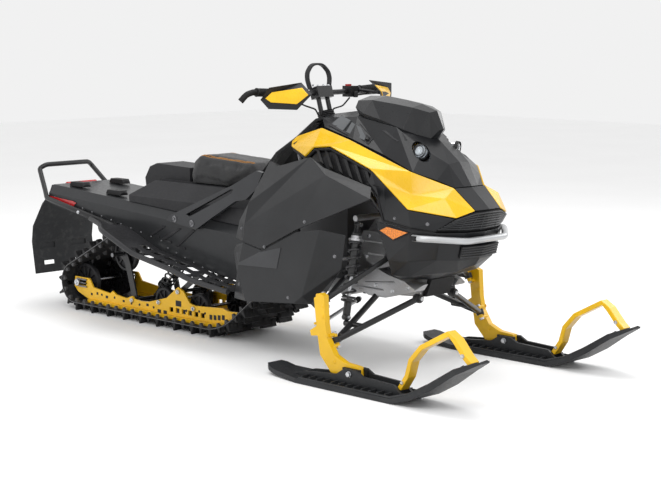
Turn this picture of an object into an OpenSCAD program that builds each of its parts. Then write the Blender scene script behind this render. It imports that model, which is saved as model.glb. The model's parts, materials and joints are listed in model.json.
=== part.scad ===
// Snowmobile, standing on its track and skis. Millimetres, +X forward, +Y left, +Z up.
// The origin is on the ground below the middle of the machine.

/* [Skis and steering] */
// Distance between the middles of the two skis
ski_stance = 925; // [880:5:1050]
// Station of the ski pivot bolts, forward of the middle
ski_pivot_x = 953; // [940:1:970]
// Height of the ski pivot bolts
ski_pivot_z = 66; // [62:1:72]
// Width of a ski
ski_w = 165; // [140:1:200]
// Width of the yellow hand loop on a ski tip
loop_w = 46; // [30:1:60]
// Rake of the steering post, leaning back from upright
post_rake = 17; // [12:1:22]
// Half of the handlebar's length over the grips
bar_half = 372; // [340:1:400]
// Diameter of the handlebar tube
bar_d = 22.2; // [20:0.1:28]

/* [Tunnel] */
// Outside width of the tunnel
tunnel_w = 410; // [400:2:480]
// Thickness of the tunnel sheet
tunnel_t = 4; // [2:0.5:6]
// Station of the tunnel's rear edge, behind the middle
tunnel_rear = 1391; // [1370:1:1400]
// Distance of the running boards' outer edge from the middle
board_reach = 360; // [335:1:400]
// Bore of the cargo anchors on the tunnel
anchor_d = 14; // [8:0.5:18]

/* [Track and slide rails] */
// Width of the track
track_w = 380; // [340:2:388]
// Thickness of the track belt
belt_t = 8; // [6:0.5:10]
// Height of the track's lugs
lug_h = 33; // [25:1:40]
// Number of lugs around the track
lug_count = 54; // [44:2:60]
// Distance between the middles of the two slide rails
rail_gauge = 296; // [280:2:310]
// Diameter of the rear axle's wheels
rear_wheel_d = 182; // [170:1:184]
// Diameter of the small idler wheels on the rails
idler_d = 132; // [110:1:140]

/* [Bodywork] */
// Thickness of the body panels
panel_t = 9; // [6:0.5:12]
// Gap between neighbouring panels
seam = 2.5; // [1.5:0.1:4]
// Distance of the side panels' outer face from the middle
panel_reach = 360; // [345:1:400]

/* [Hidden] */

X = 0;
Y = 1;
Z = 2;
round_fn = 32;
fit = 0.3;
half_stance = ski_stance / 2;

// ---------- small helpers ----------
function unit(v) = v / norm(v);
function mix(a, b, t) = a + (b - a) * t;
function flip(p) = [p[X], -p[Y], p[Z]];
function total(list, i = 0) = i < len(list) ? list[i] + total(list, i + 1) : 0;
function mean(pts) = [for (k = [X:Z]) total([for (p = pts) p[k]]) / len(pts)];

// An outline in x and z, as thick as y0 to y1
module slab(pts, y0, y1)
    translate([0, y1, 0])
        rotate([90, 0, 0])
            linear_extrude(y1 - y0)
                polygon(pts);

// The same on both sides of the machine
module both() {
    children();
    mirror([0, 1, 0]) children();
}

// A round bar from point a to point b
module bar(a, b, d) {
    v = b - a;
    translate(a)
        rotate([0, acos(v[Z] / norm(v)), atan2(v[Y], v[X])])
            cylinder(d = d, h = norm(v), $fn = round_fn);
}

// A round bar across the machine, its middle at (x, y, z)
module cross_bar(x, y, z, d, length)
    translate([x, y + length / 2, z])
        rotate([90, 0, 0])
            cylinder(d = d, h = length, $fn = round_fn);

// A tube swept along points, as one closed mesh. up is a direction that the tube never follows
module swept(pts, d, sides = 10, up = [0, 0, 1]) {
    n = len(pts);
    function along(i) = unit(pts[min(i + 1, n - 1)] - pts[max(i - 1, 0)]);
    function side(i) = unit(cross(along(i), up));
    ring = [for (i = [0:n - 1], k = [0:sides - 1])
        let (s = side(i), u = cross(s, along(i)), a = 360 * k / sides)
        pts[i] + (s * cos(a) + u * sin(a)) * d / 2];
    faces = concat(
        [[for (k = [sides - 1:-1:0]) k]],
        [for (i = [0:n - 2], k = [0:sides - 1], half = [0, 1])
            let (a = i * sides + k, b = i * sides + (k + 1) % sides)
            half == 0 ? [a, b, a + sides] : [b, b + sides, a + sides]],
        [[for (k = [0:sides - 1]) (n - 1) * sides + k]]);
    polyhedron(ring, faces);
}

// Points of a path whose corners are rounded: each corner becomes an arc of steps pieces
function rounded_path(pts, r, steps = 4) = concat([pts[0]],
    [for (i = [1:len(pts) - 2])
        let (a = unit(pts[i - 1] - pts[i]), b = unit(pts[i + 1] - pts[i]))
        for (k = [0:steps])
            let (t = k / steps)
            pts[i] + a * r * (1 - t) * (1 - t) + b * r * t * t],
    [pts[len(pts) - 1]]);

// A body panel: outer points v, of which the first n are its rim in order, counter-clockwise
// seen from outside. faces are outlines of facets. It is t thick towards the point core,
// and its rim stands back by the seam. With a grow it reaches that far outwards too
module panel(v, n, faces, core, t = panel_t, gap = seam, grow = 0) {
    middle = mean([for (i = [0:n - 1]) v[i]]);
    skin = [for (i = [0:len(v) - 1]) i < n ? v[i] + unit(middle - v[i]) * gap / 2 : v[i]];
    outer = [for (p = skin) p - unit(core - p) * grow];
    inner = [for (p = skin) p + unit(core - p) * t];
    m = len(v);
    tris = [for (f = faces, i = [1:len(f) - 2]) [f[0], f[i], f[i + 1]]];
    polyhedron(concat(outer, inner), concat(
        [for (f = tris) [f[2], f[1], f[0]]],
        [for (f = tris) [f[0] + m, f[1] + m, f[2] + m]],
        [for (i = [0:n - 1], half = [0, 1])
            let (j = (i + 1) % n)
            half == 0 ? [i, j, j + m] : [i, j + m, i + m]]));
}

// A lofted skin through rows of points that run from the right edge to the left edge
module sheet(rows, core, t = panel_t, grow = 0) {
    n = len(rows[0]);
    m = len(rows) * n;
    outer = [for (r = rows, p = r) p - unit(core - p) * grow];
    inner = [for (r = rows, p = r) p + unit(core - p) * t];
    rim = concat([for (j = [0:n - 1]) j], [for (i = [1:len(rows) - 1]) i * n + n - 1],
        [for (j = [n - 2:-1:0]) (len(rows) - 1) * n + j], [for (i = [len(rows) - 2:-1:1]) i * n]);
    tris = [for (i = [0:len(rows) - 2], j = [0:n - 2], half = [0, 1])
        let (a = i * n + j, b = a + n)
        half == 0 ? [a, a + 1, b] : [a + 1, b + 1, b]];
    polyhedron(concat(outer, inner), concat(
        tris,
        [for (f = tris) [f[2] + m, f[1] + m, f[0] + m]],
        [for (i = [0:len(rim) - 1], half = [0, 1])
            let (a = rim[i], b = rim[(i + 1) % len(rim)])
            half == 0 ? [a, b + m, b] : [a, a + m, b + m]]));
}

// A row across the machine from the points of its right half, middle point last
function full_row(half) = concat(half, [for (k = [len(half) - 2:-1:0]) flip(half[k])]);

// ---------- tunnel, boards and tail ----------
tunnel_half = tunnel_w / 2;
tunnel_front = 190;
roof_rear_z = 600;
roof_slope = 0.061;
bevel_in = 30;
bevel_drop = 38;
function roof_z(x) = roof_rear_z - roof_slope * (x + tunnel_rear);
// Lower edge of the tunnel's side: x, z
side_foot = [[-tunnel_rear, 512], [-854, 424], [-466, 338], [-43, 284], [tunnel_front, 258]];

// The tunnel's section, carried along a line that falls with the roof
module tunnel_solid(inset) {
    half = tunnel_half - inset;
    lead = 60;
    translate([-tunnel_rear, 0, roof_rear_z])
        rotate([0, atan(roof_slope), 0])
            translate([-lead, 0, 0])
                rotate([90, 0, 90])
                    linear_extrude(tunnel_rear + tunnel_front + 2 * lead)
                        polygon([[-half, -420], [-half, -bevel_drop], [-half + bevel_in, -inset],
                            [half - bevel_in, -inset], [half, -bevel_drop], [half, -420]]);
}

axle_front = [80, 0, 335];
axle_d = 26;

module tunnel() color("#4a4d50")
    difference() {
        intersection() {
            tunnel_solid(0);
            slab(concat(side_foot, [[tunnel_front, 700], [-tunnel_rear, 700]]), -tunnel_half, tunnel_half);
        }
        tunnel_solid(tunnel_t);
        cross_bar(axle_front[X], 0, axle_front[Z], axle_d + 2 * fit, tunnel_w + 10);
    }

// Outer edge of the running boards: x, distance from the middle, z
board_edge = [[-1000, tunnel_half + 42, 470], [-880, board_reach - 80, 456], [-770, board_reach, 446],
              [-536, board_reach, 360], [-277, board_reach, 319], [-143, board_reach, 287],
              [102, board_reach, 264]];
edge_d = 24;
board_t = 5;
bumper_d = 24;
bumper_y = tunnel_half + 17;

module running_board(side) color("#2b2d2f") {
    top = [for (p = board_edge) [p[X], p[Z] + board_t / 2]];
    low = [for (k = [len(board_edge) - 1:-1:0]) [board_edge[k][X], board_edge[k][Z] - board_t / 2]];
    clear_y = bumper_y + bumper_d / 2 + 1;
    plan = concat([for (p = board_edge) [p[X], p[Y]]],
        [[102, tunnel_half + fit], [-832, tunnel_half + fit], [-836, clear_y], [-1000, clear_y]]);
    mirror([0, side < 0 ? 1 : 0, 0]) {
        difference() {
            intersection() {
                slab(concat(top, low), tunnel_half + fit, board_reach + 1);
                translate([0, 0, 100]) linear_extrude(500) polygon(plan);
            }
            for (i = [0:7], j = [0:1])
                translate([-600 + 82 * i + 20 * j, tunnel_half + 32 + 62 * j, 200])
                    linear_extrude(300)
                        polygon([[0, 0], [58, 0], [46, 34], [-12, 34]]);
        }
        swept(rounded_path(board_edge, 40), edge_d);
    }
}
module running_board_right() running_board(-1);
module running_board_left() running_board(1);

rear_hoop = [[-854, bumper_y, 447], [-1385, bumper_y, 536], [-1442, 192, 572],
             [-1534, 158, 668], [-1518, 128, 686], [-1518, -128, 686], [-1534, -158, 668],
             [-1442, -192, 572], [-1385, -bumper_y, 536], [-854, -bumper_y, 447]];
module rear_bumper() color("#1f2021") {
    swept(rounded_path(rear_hoop, 14, 3), bumper_d, 10, [0.3, 0, 1]);
    both()
        for (x = [-880, -1130])
            translate([x, tunnel_half + fit, 464 - 0.168 * (x + 954) - 12])
                cube([34, bumper_y - tunnel_half - fit, 20]);
}

flap_half = 184;
flap_t = 5;
// Side view of the flap: x, z
flap_line = [[-1420, 548], [-1476, 501], [-1562, 380], [-1574, 300], [-1548, 140]];
module snow_flap() color("#232425") {
    n = len(flap_line);
    front = [for (p = flap_line) p];
    back = [for (k = [n - 1:-1:0]) flap_line[k] + [-flap_t, -1]];
    difference() {
        slab(concat(front, back), -flap_half, flap_half);
        for (s = [-1, 1]) {
            translate([-1700, s * 95 - 45, 262]) cube([400, 90, 26]);
            translate([-1700, s * 95 - 30, 180]) cube([400, 60, 20]);
        }
    }
    both()
        slab([[-1391.3, 597], [-1391.3, 536], [-1427, 536], [-1427, 556], [-1404, 597]], 98, flap_half - 6);
}

module tail_light() color("#8e1b1b")
    slab([[-1391.3, 598], [-1391.3, 572], [-1412, 566], [-1420, 596], [-1405, 606]], -90, 90);

module tunnel_reflectors() color("#b3202a")
    both()
        slab([[-1385, 547], [-1370, 524], [-1185, 512], [-1165, 528], [-1190, 535]],
            tunnel_half + fit, tunnel_half + 4);

// Cargo anchors on the tunnel's bevelled edges: x, distance from the middle
anchor_seats = [[-1250, 120], [-960, 120]];
anchor_len = 110;
anchor_w = 44;
anchor_h = 22;
module cargo_anchors() color("#1c1d1e")
    for (a = anchor_seats, s = [-1, 1])
        translate([a[X], s * a[Y], roof_z(a[X]) + 4.2])
            difference() {
                intersection() {
                    translate([-anchor_len / 2, -anchor_w / 2, 0]) cube([anchor_len, anchor_w, anchor_h]);
                    translate([0, 0, -anchor_h]) cylinder(d1 = anchor_len + 40, d2 = anchor_len - 10,
                        h = 2 * anchor_h, $fn = round_fn * 2);
                }
                translate([0, 0, -1]) cylinder(d = anchor_d, h = anchor_h + 2, $fn = round_fn);
            }

// ---------- seat, tank and struts ----------
seat_half = 110;
// Side view of the seat: x, z
seat_line = [[-437, 667.3], [-185, 667.3], [22, 758], [-21, 782], [-150, 792], [-300, 800],
             [-395, 800], [-428, 770], [-452, 700]];
module seat() color("#232425")
    slab(seat_line, -seat_half, seat_half);

tank_half = 180;
tank_top_half = 128;
tank_line = [[-793, 596], [-660, 667], [60, 667], [60, 0], [-760, 0]];
tank_gap = 0.4;
module fuel_tank() color("#2e3032") {
    intersection() {
        slab(tank_line, -tank_half, tank_half);
        slab([[-800, roof_z(-800) + tank_gap], [60, roof_z(60) + tank_gap], [60, 700], [-800, 700]],
            -tank_half, tank_half);
        translate([-800, 0, 0])
            rotate([90, 0, 90])
                linear_extrude(900)
                    polygon([[-tank_half, 400], [-tank_half, 592], [-tank_top_half, 668],
                        [tank_top_half, 668], [tank_half, 592], [tank_half, 400]]);
    }
    slab([[-785, 600], [-470, 600], [-470, 733], [-709, 740], [-760, 722], [-796, 668]], -80, 80);
}

strut_in = tunnel_half + fit;
strut_out = strut_in + 22;
module side_struts() color("#55585a")
    both()
        difference() {
            slab([[-463, 507], [-260, 483], [-151, 545], [2, 628], [70, 640], [137, 690], [176, 762],
                [137, 768], [-21, 694], [-440, 530]], strut_in, strut_out);
            slab([[-325, 546], [-300, 538], [-20, 660], [-8, 678], [-26, 678]],
                strut_in - 1, strut_out + 1);
            for (p = [[-403, 518], [-285, 508]])
                cross_bar(p[X], strut_in, p[Y], 16, 80);
        }

// ---------- upper body ----------
core = [560, 0, 560];
post_axis = [-sin(post_rake), 0, cos(post_rake)];
bar_mid = [299, 0, 1093];
post_low = bar_mid - post_axis * 150;
well_d = 100;
// The room that the steering post turns in
module post_well()
    translate(post_low)
        rotate([0, -post_rake, 0])
            translate([0, 0, -30])
                cylinder(d = well_d, h = 160, $fn = round_fn);
console_rows = [
    [[30, -120, 680], [30, -60, 745], [30, 0, 760]],
    [[110, -190, 740], [120, -70, 838], [120, 0, 850]],
    [[230, -200, 850], [228, -70, 915], [228, 0, 930]],
    [[320, -190, 905], [318, -80, 972], [300, 0, 985]],
    [[345, -180, 925], [350, -85, 990], [352, 0, 1003]]];
module console() color("#28292b")
    difference() {
        sheet([for (r = console_rows) full_row(r)], core, 12);
        post_well();
    }

hood_rows = [
    [[478, -160, 966], [378, -72, 995], [358, 0, 1006]],
    [[668, -190, 926], [610, -105, 1010], [600, 0, 1036]],
    [[832, -186, 874], [830, -110, 975], [800, 0, 1020]],
    [[992, -192, 816], [960, -95, 900], [962, 0, 925]],
    [[1060, -130, 785], [1060, -60, 842], [1060, 0, 850]],
    [[1112, -84, 756], [1122, -40, 758], [1126, 0, 758]]];
lamp_at = [955, -106, 888];
lamp_d = 62;
lamp_yaw = 24;
lamp_dip = 8;
module lamp_place(side)
    translate([lamp_at[X], side * -lamp_at[Y], lamp_at[Z]])
        rotate([0, 0, side * lamp_yaw])
            rotate([0, 90 + lamp_dip, 0])
                children();
module hood() color("#26282a")
    difference() {
        sheet([for (r = hood_rows) full_row(r)], core);
        post_well();
        for (side = [-1, 1])
            lamp_place(side) translate([0, 0, -60]) cylinder(d = lamp_d + 1, h = 140, $fn = round_fn);
    }

module headlights() color("#d9dde0")
    for (side = [-1, 1])
        lamp_place(side) {
            translate([0, 0, -52]) cylinder(d = lamp_d, h = 56, $fn = round_fn);
            translate([0, 0, 4]) intersection() {
                cylinder(d = lamp_d, h = 12, $fn = round_fn);
                translate([0, 0, 10 - 45]) sphere(r = 45, $fn = round_fn);
            }
        }

visor_rows = [
    [[566, -70, 1044], [574, -62, 1072], [584, 0, 1090]],
    [[640, -104, 1024], [672, -84, 1078], [676, 0, 1092]],
    [[738, -108, 1004], [786, -74, 1066], [779, 0, 1080]],
    [[858, -104, 970], [868, -60, 1054], [866, 0, 1066]],
    [[893, -66, 950], [935, -34, 1036], [944, 0, 1042]],
    [[936, -26, 934], [972, -18, 968], [980, 0, 970]]];
visor_core = [750, 0, 700];
module visor() color("#3a3c3e")
    difference() {
        sheet([for (r = visor_rows) full_row(r)], visor_core, 120);
        sheet([for (r = hood_rows) full_row(r)], core, 260, fit);
    }

// Right-hand band: its rim from the rear low corner, then two points on its crease
band = [[322, -200, 881], [441, -240, 850], [493, -240, 891], [585, -240, 900], [835, -265, 824],
        [911, -265, 770], [1033, -262, 680], [1181, -150, 650], [1211, -76, 674], [1115, -91, 756],
        [991, -200, 818], [662, -200, 925], [471, -170, 963], [350, -192, 924], [326, -200, 902],
        [1011, -215, 733], [1128, -160, 722]];
band_facets = [[0, 1, 2], [0, 2, 12, 13, 14], [2, 3, 11, 12], [3, 4, 10, 11], [4, 5, 15, 10], [5, 6, 15],
               [6, 7, 16, 15], [15, 16, 9, 10], [16, 7, 8, 9]];
module hood_bands() color("#f2bd1d")
    both() panel(band, 15, band_facets, core);

nose_plate_pts = [[1115, -91, 756], [1211, -76, 674], [1219, 0, 674], [1211, 76, 674], [1115, 91, 756],
    [1122, 0, 758]];
module nose_plate() color("#232527")
    panel(nose_plate_pts, 6, [[0, 1, 2, 5], [5, 2, 3, 4]], [900, 0, 560], panel_t, 2 * seam);

// Right side panel: rim from its top corner, then its creases
side_pts = [[539, -300, 856], [354, -305, 808], [298, -296, 825], [225, -352, 650], [150, -335, 570],
            [125, -335, 492], [196, -panel_reach, 487], [312, -panel_reach, 466], [518, -panel_reach, 564],
            [910, -340, 716], [868, -290, 755], [612, -292, 815],
            [209, -panel_reach, 561], [640, -318, 790]];
side_facets = [[0, 1, 3, 12, 13], [1, 2, 3], [3, 4, 12], [4, 5, 6, 12], [12, 6, 7, 8], [12, 8, 13],
               [8, 9, 13], [9, 10, 13], [10, 11, 13], [11, 0, 13]];
module side_panel(side) color("#3b3d3f")
    mirror([0, side > 0 ? 1 : 0, 0])
        panel(side_pts, 12, side_facets, core);
module side_panel_right() side_panel(-1);
module side_panel_left() side_panel(1);

lower_pts = [[196, -panel_reach + 2, 483], [140, -344, 470], [106, -330, 440], [125, -330, 351],
    [106, -330, 235],
             [210, -panel_reach, 237], [500, -panel_reach, 262], [560, -320, 262], [520, -250, 225],
             [715, -300, 419], [740, -300, 560], [651, -panel_reach + 2, 578], [518, -panel_reach + 2, 558],
             [312, -panel_reach + 2, 462], [160, -panel_reach, 357], [552, -panel_reach, 300]];
lower_facets = [[0, 1, 2, 14], [2, 3, 14], [3, 4, 5, 14], [14, 5, 6, 15], [15, 6, 7], [7, 8, 9, 15],
                [15, 9, 10, 11], [15, 11, 12, 13], [15, 13, 14], [14, 13, 0]];
lower_core = [430, 0, 420];
module lower_panel(side) color("#313335")
    mirror([0, side > 0 ? 1 : 0, 0])
        panel(lower_pts, 14, lower_facets, lower_core);
module lower_panel_right() lower_panel(-1);
module lower_panel_left() lower_panel(1);

// Side vents: a dished wall behind the gap between the band and the side panel, with blades
vent_low = [[470, -284, 838], [539, -287, 846], [612, -285, 806], [862, -284, 750]];
vent_high = [[448, -234, 856], [493, -234, 896], [585, -234, 904], [833, -258, 830]];
vent_rim = concat(vent_low, [for (k = [3:-1:0]) vent_high[k]]);
vent_depth = 24;
blade_count = 6;
module side_vents() color("#1e1f21")
    both()
        difference() {
            union() {
                back = mean(vent_rim);
                rim = [for (p = vent_rim) p + unit(core - p) * (panel_t - 3) + unit(p - back) * 6];
                dish = [for (p = vent_rim) p + unit(core - p) * vent_depth + unit(back - p) * 8];
                panel(concat(rim, dish), 8, concat([for (i = [0:7]) [i, (i + 1) % 8, (i + 1) % 8 + 8,
                    i + 8]],
                    [[8, 9, 14, 15], [9, 10, 13, 14], [10, 11, 12, 13]]), core, 5, 0);
                for (i = [0:blade_count - 1]) {
                    t = (i + 0.6) / blade_count;
                    a = mix(vent_low[1], vent_low[3], t);
                    b = mix(vent_high[1], vent_high[3], max(t - 0.1, 0));
                    blade(a + [0, 8, 2], b + [0, 6, -4], [26, -6, -9], vent_depth);
                }
            }
            panel(band, 15, band_facets, core, panel_t + fit, seam, 20);
            panel(side_pts, 12, side_facets, core, panel_t + fit, seam, 20);
            panel(cowl_pts, 9, cowl_facets, core, panel_t + fit, seam, 20);
        }
// A flat blade from a to b, w wide along a direction and d deep towards the core
module blade(a, b, w, d) {
    outer = [a, a + w, b + w, b];
    inner = [for (p = outer) p + unit(core - p) * d];
    polyhedron(concat(outer, inner),
        [[3, 2, 1, 0], [4, 5, 6, 7], [0, 1, 5, 4], [1, 2, 6, 5], [2, 3, 7, 6], [3, 0, 4, 7]]);
}

cowl_pts = [[905, -257, 628], [1040, -253, 610], [1118, -200, 598], [1176, -152, 646], [1033, -262, 676],
            [911, -265, 766], [845, -267, 818], [845, -285, 772], [884, -268, 715]];
cowl_facets = [[0, 1, 4], [1, 2, 3, 4], [0, 4, 5, 8], [8, 5, 6, 7]];
module cowl_sides() color("#2f3133")
    both()
        panel(cowl_pts, 9, cowl_facets, core);

nose_rows = [
    [[849, -250, 619], [1030, -250, 604], [1122, -190, 592], [1182, -95, 590], [1196, 0, 590]],
    [[880, -252, 560], [1025, -250, 552], [1118, -185, 545], [1165, -110, 545], [1182, 0, 545]],
    [[912, -246, 470], [1010, -236, 474], [1100, -175, 484], [1150, -100, 480], [1166, 0, 478]],
    [[915, -225, 410], [975, -190, 405], [1050, -130, 420], [1110, -60, 428], [1148, 0, 452]],
    [[895, -150, 385], [950, -120, 384], [985, -90, 386], [1010, -50, 392], [1020, 0, 396]]];
nose_core = [880, 0, 520];
nose_t = 14;
module nose() color("#242628")
    sheet([for (r = nose_rows) full_row(r)], nose_core, nose_t);

grille_pts = [[1118, -196, 602], [1180, -95, 598], [1196, 0, 598], [1180, 95, 598], [1118, 196, 602],
              [1176, 152, 642], [1211, 76, 666], [1217, 0, 668], [1211, -76, 666], [1176, -152, 642]];
module grilles() color("#1b1c1e") {
    panel(grille_pts, 10, [[0, 1, 8, 9], [1, 2, 7, 8], [2, 3, 6, 7], [3, 4, 5, 6]], [900, 0, 620], 10);
    low = [[1153, -112, 488], [1169, 0, 486], [1153, 112, 488], [1166, 112, 536], [1185, 0, 536],
        [1166, -112, 536]];
    panel([for (p = low) p + [8.2, 0, 0]], 6, [[0, 1, 4, 5], [1, 2, 3, 4]], [900, 0, 512], 8);
}

module nose_reflectors() color("#e8801a")
    both()
        slab([[880, 586], [949, 557], [1024, 590], [916, 603]], 252, 256);

hoop = [[1040, 251, 572], [1079, 251, 572], [1196, 112, 560], [1196, -112, 560], [1079, -251, 572],
    [1040, -251, 572]];
module front_bumper() color("#c9cccd")
    swept(rounded_path([for (p = hoop) p + [7.4, 0, 0]], 24, 3), 26, 10);

// ---------- front frame ----------
apex = post_low - post_axis * 48;
leg_rear = [88, 150, 498];
leg_front = [770, 80, 590];
leg_d = 26;
casting_half = 150;
frame_half = tunnel_half - tunnel_t - fit;
eye_d = 30;
eye_len = 34;
// Inner eyes of the suspension arms on the right, front and rear
upper_eyes = [[849, -casting_half - fit - eye_d / 2, 470], [618, -casting_half - fit - eye_d / 2, 379]];
lower_eyes = [[945, -104, 308], [745, -112, 312]];
module eye(p, grow = 0)
    translate(p - [eye_len / 2 + grow, 0, 0])
        rotate([0, 90, 0])
            cylinder(d = eye_d + 2 * grow, h = eye_len + 2 * grow, $fn = round_fn);

shock_low = [762, -322, 238];
shock_top = [747, -240, 596];
shock_eye = 26;
tower_d = 24;
tower_z = shock_top[Z] + (shock_eye + tower_d) / 2 + fit;

module bulkhead() color("#b9bcbd")
    difference() {
        union() {
            slab([[600, 294], [938, 316.4], [950, 350], [905, 372], [870, 470], [850, 600], [700, 600],
                [600, 480]],
                -92, 92);
            slab([[600, 300], [660, 300], [660, 360], [600, 360]], -frame_half, frame_half);
            translate(apex) rotate([0, -post_rake, 0])
                translate([0, 0, -25]) cylinder(d = 62, h = 50, $fn = round_fn);
            both() {
                slab([[600, 350], [690, 405], [767, 413], [823, 394], [895, 380], [985, 368], [966, 342],
                    [812, 300], [720, 300], [600, 345]], 91, casting_half);
                slab([[665, 506], [710, 436], [767, 412], [872, 440], [872, 510], [760, 560], [690, 560]],
                    91, casting_half);
                slab([[130, 300], [640, 300], [640, 360], [130, 360]], frame_half - 9, frame_half);
                bar(apex + [-13, 17, 5], leg_rear, leg_d);
                bar(apex + [13, 17, -9], leg_front, leg_d);
                slab([[shock_top[X] - 16, 560], [shock_top[X] + 16, 560], [shock_top[X] + 14, tower_z + 15],
                    [shock_top[X] - 14, tower_z + 15]], 60, 110);
                bar([shock_top[X], 80, tower_z], [shock_top[X], -shock_top[Y] + 16, tower_z], tower_d);
                bar([252, 71, 768], [235, 105, 960], 14);
                bar([563, 54, 747], [575, 80, 1060], 14);
                bar([584, 57, 732], [666, 268, 952], 14);
                bar([604, 60, 714], [610, 370, 742], 14);
                bar([650, 80, 450], [620, 380, 440], 16);
                bar([840, 80, 585], [975, 295, 662], 14);
            }
            bar([840, 0, 560], [1230, 0, 535], 22);
        }
        translate(apex) rotate([0, -post_rake, 0])
            translate([0, 0, -60]) cylinder(d = pin_d + 2 * fit, h = 120, $fn = round_fn);
        tunnel_solid(-fit);
        sheet([for (r = console_rows) full_row(r)], core, 12 + fit, 160);
        sheet([for (r = hood_rows) full_row(r)], core, panel_t + fit, 160);
        sheet([for (r = nose_rows) full_row(r)], nose_core, nose_t + fit, 160);
        both() {
            panel(band, 15, band_facets, core, panel_t + fit, seam, 120);
            panel(side_pts, 12, side_facets, core, panel_t + fit, seam, 120);
            panel(cowl_pts, 9, cowl_facets, core, panel_t + fit, seam, 120);
            panel(lower_pts, 14, lower_facets, lower_core, panel_t + fit, seam, 120);
            for (p = concat(upper_eyes, lower_eyes))
                eye(flip(p), fit);
            for (p = lower_eyes)
                bar(flip(p), flip(king_low), lower_arm_d + 4);
        }
    }

module belly_plate() color("#1d1e20")
    slab([[963, 384], [986, 384], [958, 312], [610, 284], [610, 294], [942, 316]], -70, 70);

module engine() color("#6a6c6e")
    translate([250, -150, 340]) cube([350 - fit, 300, 350]);

// ---------- track and suspension ----------
// The circles that the belt's outer face runs round, counter-clockwise seen from the right: x, z, radius
ground_z = lug_h;
rear_at = [-1226, ground_z + belt_t + rear_wheel_d / 2];
carrier_at = [-900, 302];
carrier_d = 172;
nose_r = 330;
runs = [[rear_at[0], rear_at[1], rear_wheel_d / 2 + belt_t],
        [-262, ground_z + nose_r, nose_r],
        [axle_front[X], axle_front[Z], 100],
        [carrier_at[0], carrier_at[1], carrier_d / 2 + belt_t]];
function turn(i) = let (a = runs[i], b = runs[(i + 1) % len(runs)], dx = b[0] - a[0], dz = b[1] - a[1],
    d = norm([dx, dz])) atan2(dz, dx) - 90 + asin((a[2] - b[2]) / d);
function arc_start(i) = turn((i + len(runs) - 1) % len(runs));
function arc_angle(i) = let (d = turn(i) - arc_start(i)) d < 0 ? d + 360 : d;
function straight(i) = let (a = runs[i], b = runs[(i + 1) % len(runs)])
    sqrt(pow(b[0] - a[0], 2) + pow(b[1] - a[1], 2) - pow(a[2] - b[2], 2));
function arc_len(i) = runs[i][2] * arc_angle(i) * PI / 180;
function loop_len(i = 0) = i < len(runs) ? arc_len(i) + straight(i) + loop_len(i + 1) : 0;
// Point of the loop at a distance s along it, moved out by h
function on_loop(s, h, i = 0) = let (c = runs[i])
    s < arc_len(i) ? let (a = arc_start(i) + s / c[2] * 180 / PI) [c[0],
        c[1]] + (c[2] + h) * [cos(a), sin(a)]
    : s < arc_len(i) + straight(i) ? let (a = turn(i)) [c[0], c[1]] + (c[2] + h) * [cos(a), sin(a)]
        + (s - arc_len(i)) * [-sin(a), cos(a)]
    : on_loop(s - arc_len(i) - straight(i), h, i + 1);
lug_base = 22;
lug_tip = 14;

module track() color("#17181a") {
    pitch = loop_len() / lug_count;
    lug = [[-lug_base / 2, 0], [-lug_tip / 2, lug_h], [lug_tip / 2, lug_h], [lug_base / 2, 0],
        [pitch / 2, 0]];
    outline = [for (k = [0:lug_count - 1], q = lug)
        on_loop(k == lug_count - 1 && q[0] > lug_base ? 0 : (k + 0.5) * pitch + q[0], q[1])];
    inside = [for (k = [0:lug_count * 4 - 1]) on_loop((k + 0.5) * pitch / 4, -belt_t)];
    difference() {
        slab(outline, -track_w / 2, track_w / 2);
        slab(inside, -track_w, track_w);
    }
}

rail_t = 8;
foot_w = 32;
foot_h = 16;
slide_z = ground_z + belt_t;
rail_y = rail_gauge / 2;
rear_slot = [64, 24];
rear_axle_d = 22;
idler_x = [-615, -368];
idler_z = slide_z + idler_d / 2 + fit;
idler_axle_d = 14;
front_arm_pin = [-476, 172];
rear_arm_pin = [-815, 92];

module rail() {
    lip = [for (a = [0:6:36]) [runs[1][0], runs[1][1]] + (nose_r - belt_t - 1.5) * [sin(a), -cos(a)]];
    lip_in = [for (a = [36:-6:0]) [runs[1][0], runs[1][1]] + (nose_r - belt_t - 1.5 - foot_h) * [sin(a),
        -cos(a)]];
    difference() {
        union() {
            slab(concat([[-1262, 158], [-1268, 110], [-1240, 84], [-1160, 58], [-1140, 50]],
                [for (k = [len(lip_in) - 1:-1:0]) lip_in[k] + [0, -3]],
                [[-70, 128], [-131, 125], [-172, 134], [-355, 122], [-396, 128], [-440, 178], [-476, 194],
                [-500, 178], [-560, 134], [-690, 100], [-738, 96], [-800, 100], [-815, 112], [-860, 96],
                [-940, 104],
                [-965, 118], [-985, 104], [-1120, 118], [-1142, 150],
                [-1150, 158]]), -rail_t / 2, rail_t / 2);
            slab(concat([[-1150, slide_z + 1.5]], lip, lip_in, [[-1150, slide_z + 1.5 + foot_h]]),
                -foot_w / 2, foot_w / 2);
        }
        translate([rear_at[0] - rear_slot[0] / 2 + 20, -foot_w, rear_at[1] - rear_slot[1] / 2])
            cube([rear_slot[0], 2 * foot_w, rear_slot[1]]);
        for (x = idler_x)
            cross_bar(x, 0, idler_z, idler_axle_d + 2 * fit, 60);
        cross_bar(front_arm_pin[0], 0, front_arm_pin[1], 16 + 2 * fit, 60);
        cross_bar(rear_arm_pin[0], 0, rear_arm_pin[1], 16 + 2 * fit, 60);
        for (x = [-540:44:-300])
            translate([x, -foot_w, slide_z + 32]) cube([26, 2 * foot_w, 22]);
    }
}
module rail_right() color("#e9b320") translate([0, -rail_y, 0]) rail();
module rail_left() color("#e9b320") translate([0, rail_y, 0]) rail();

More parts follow.
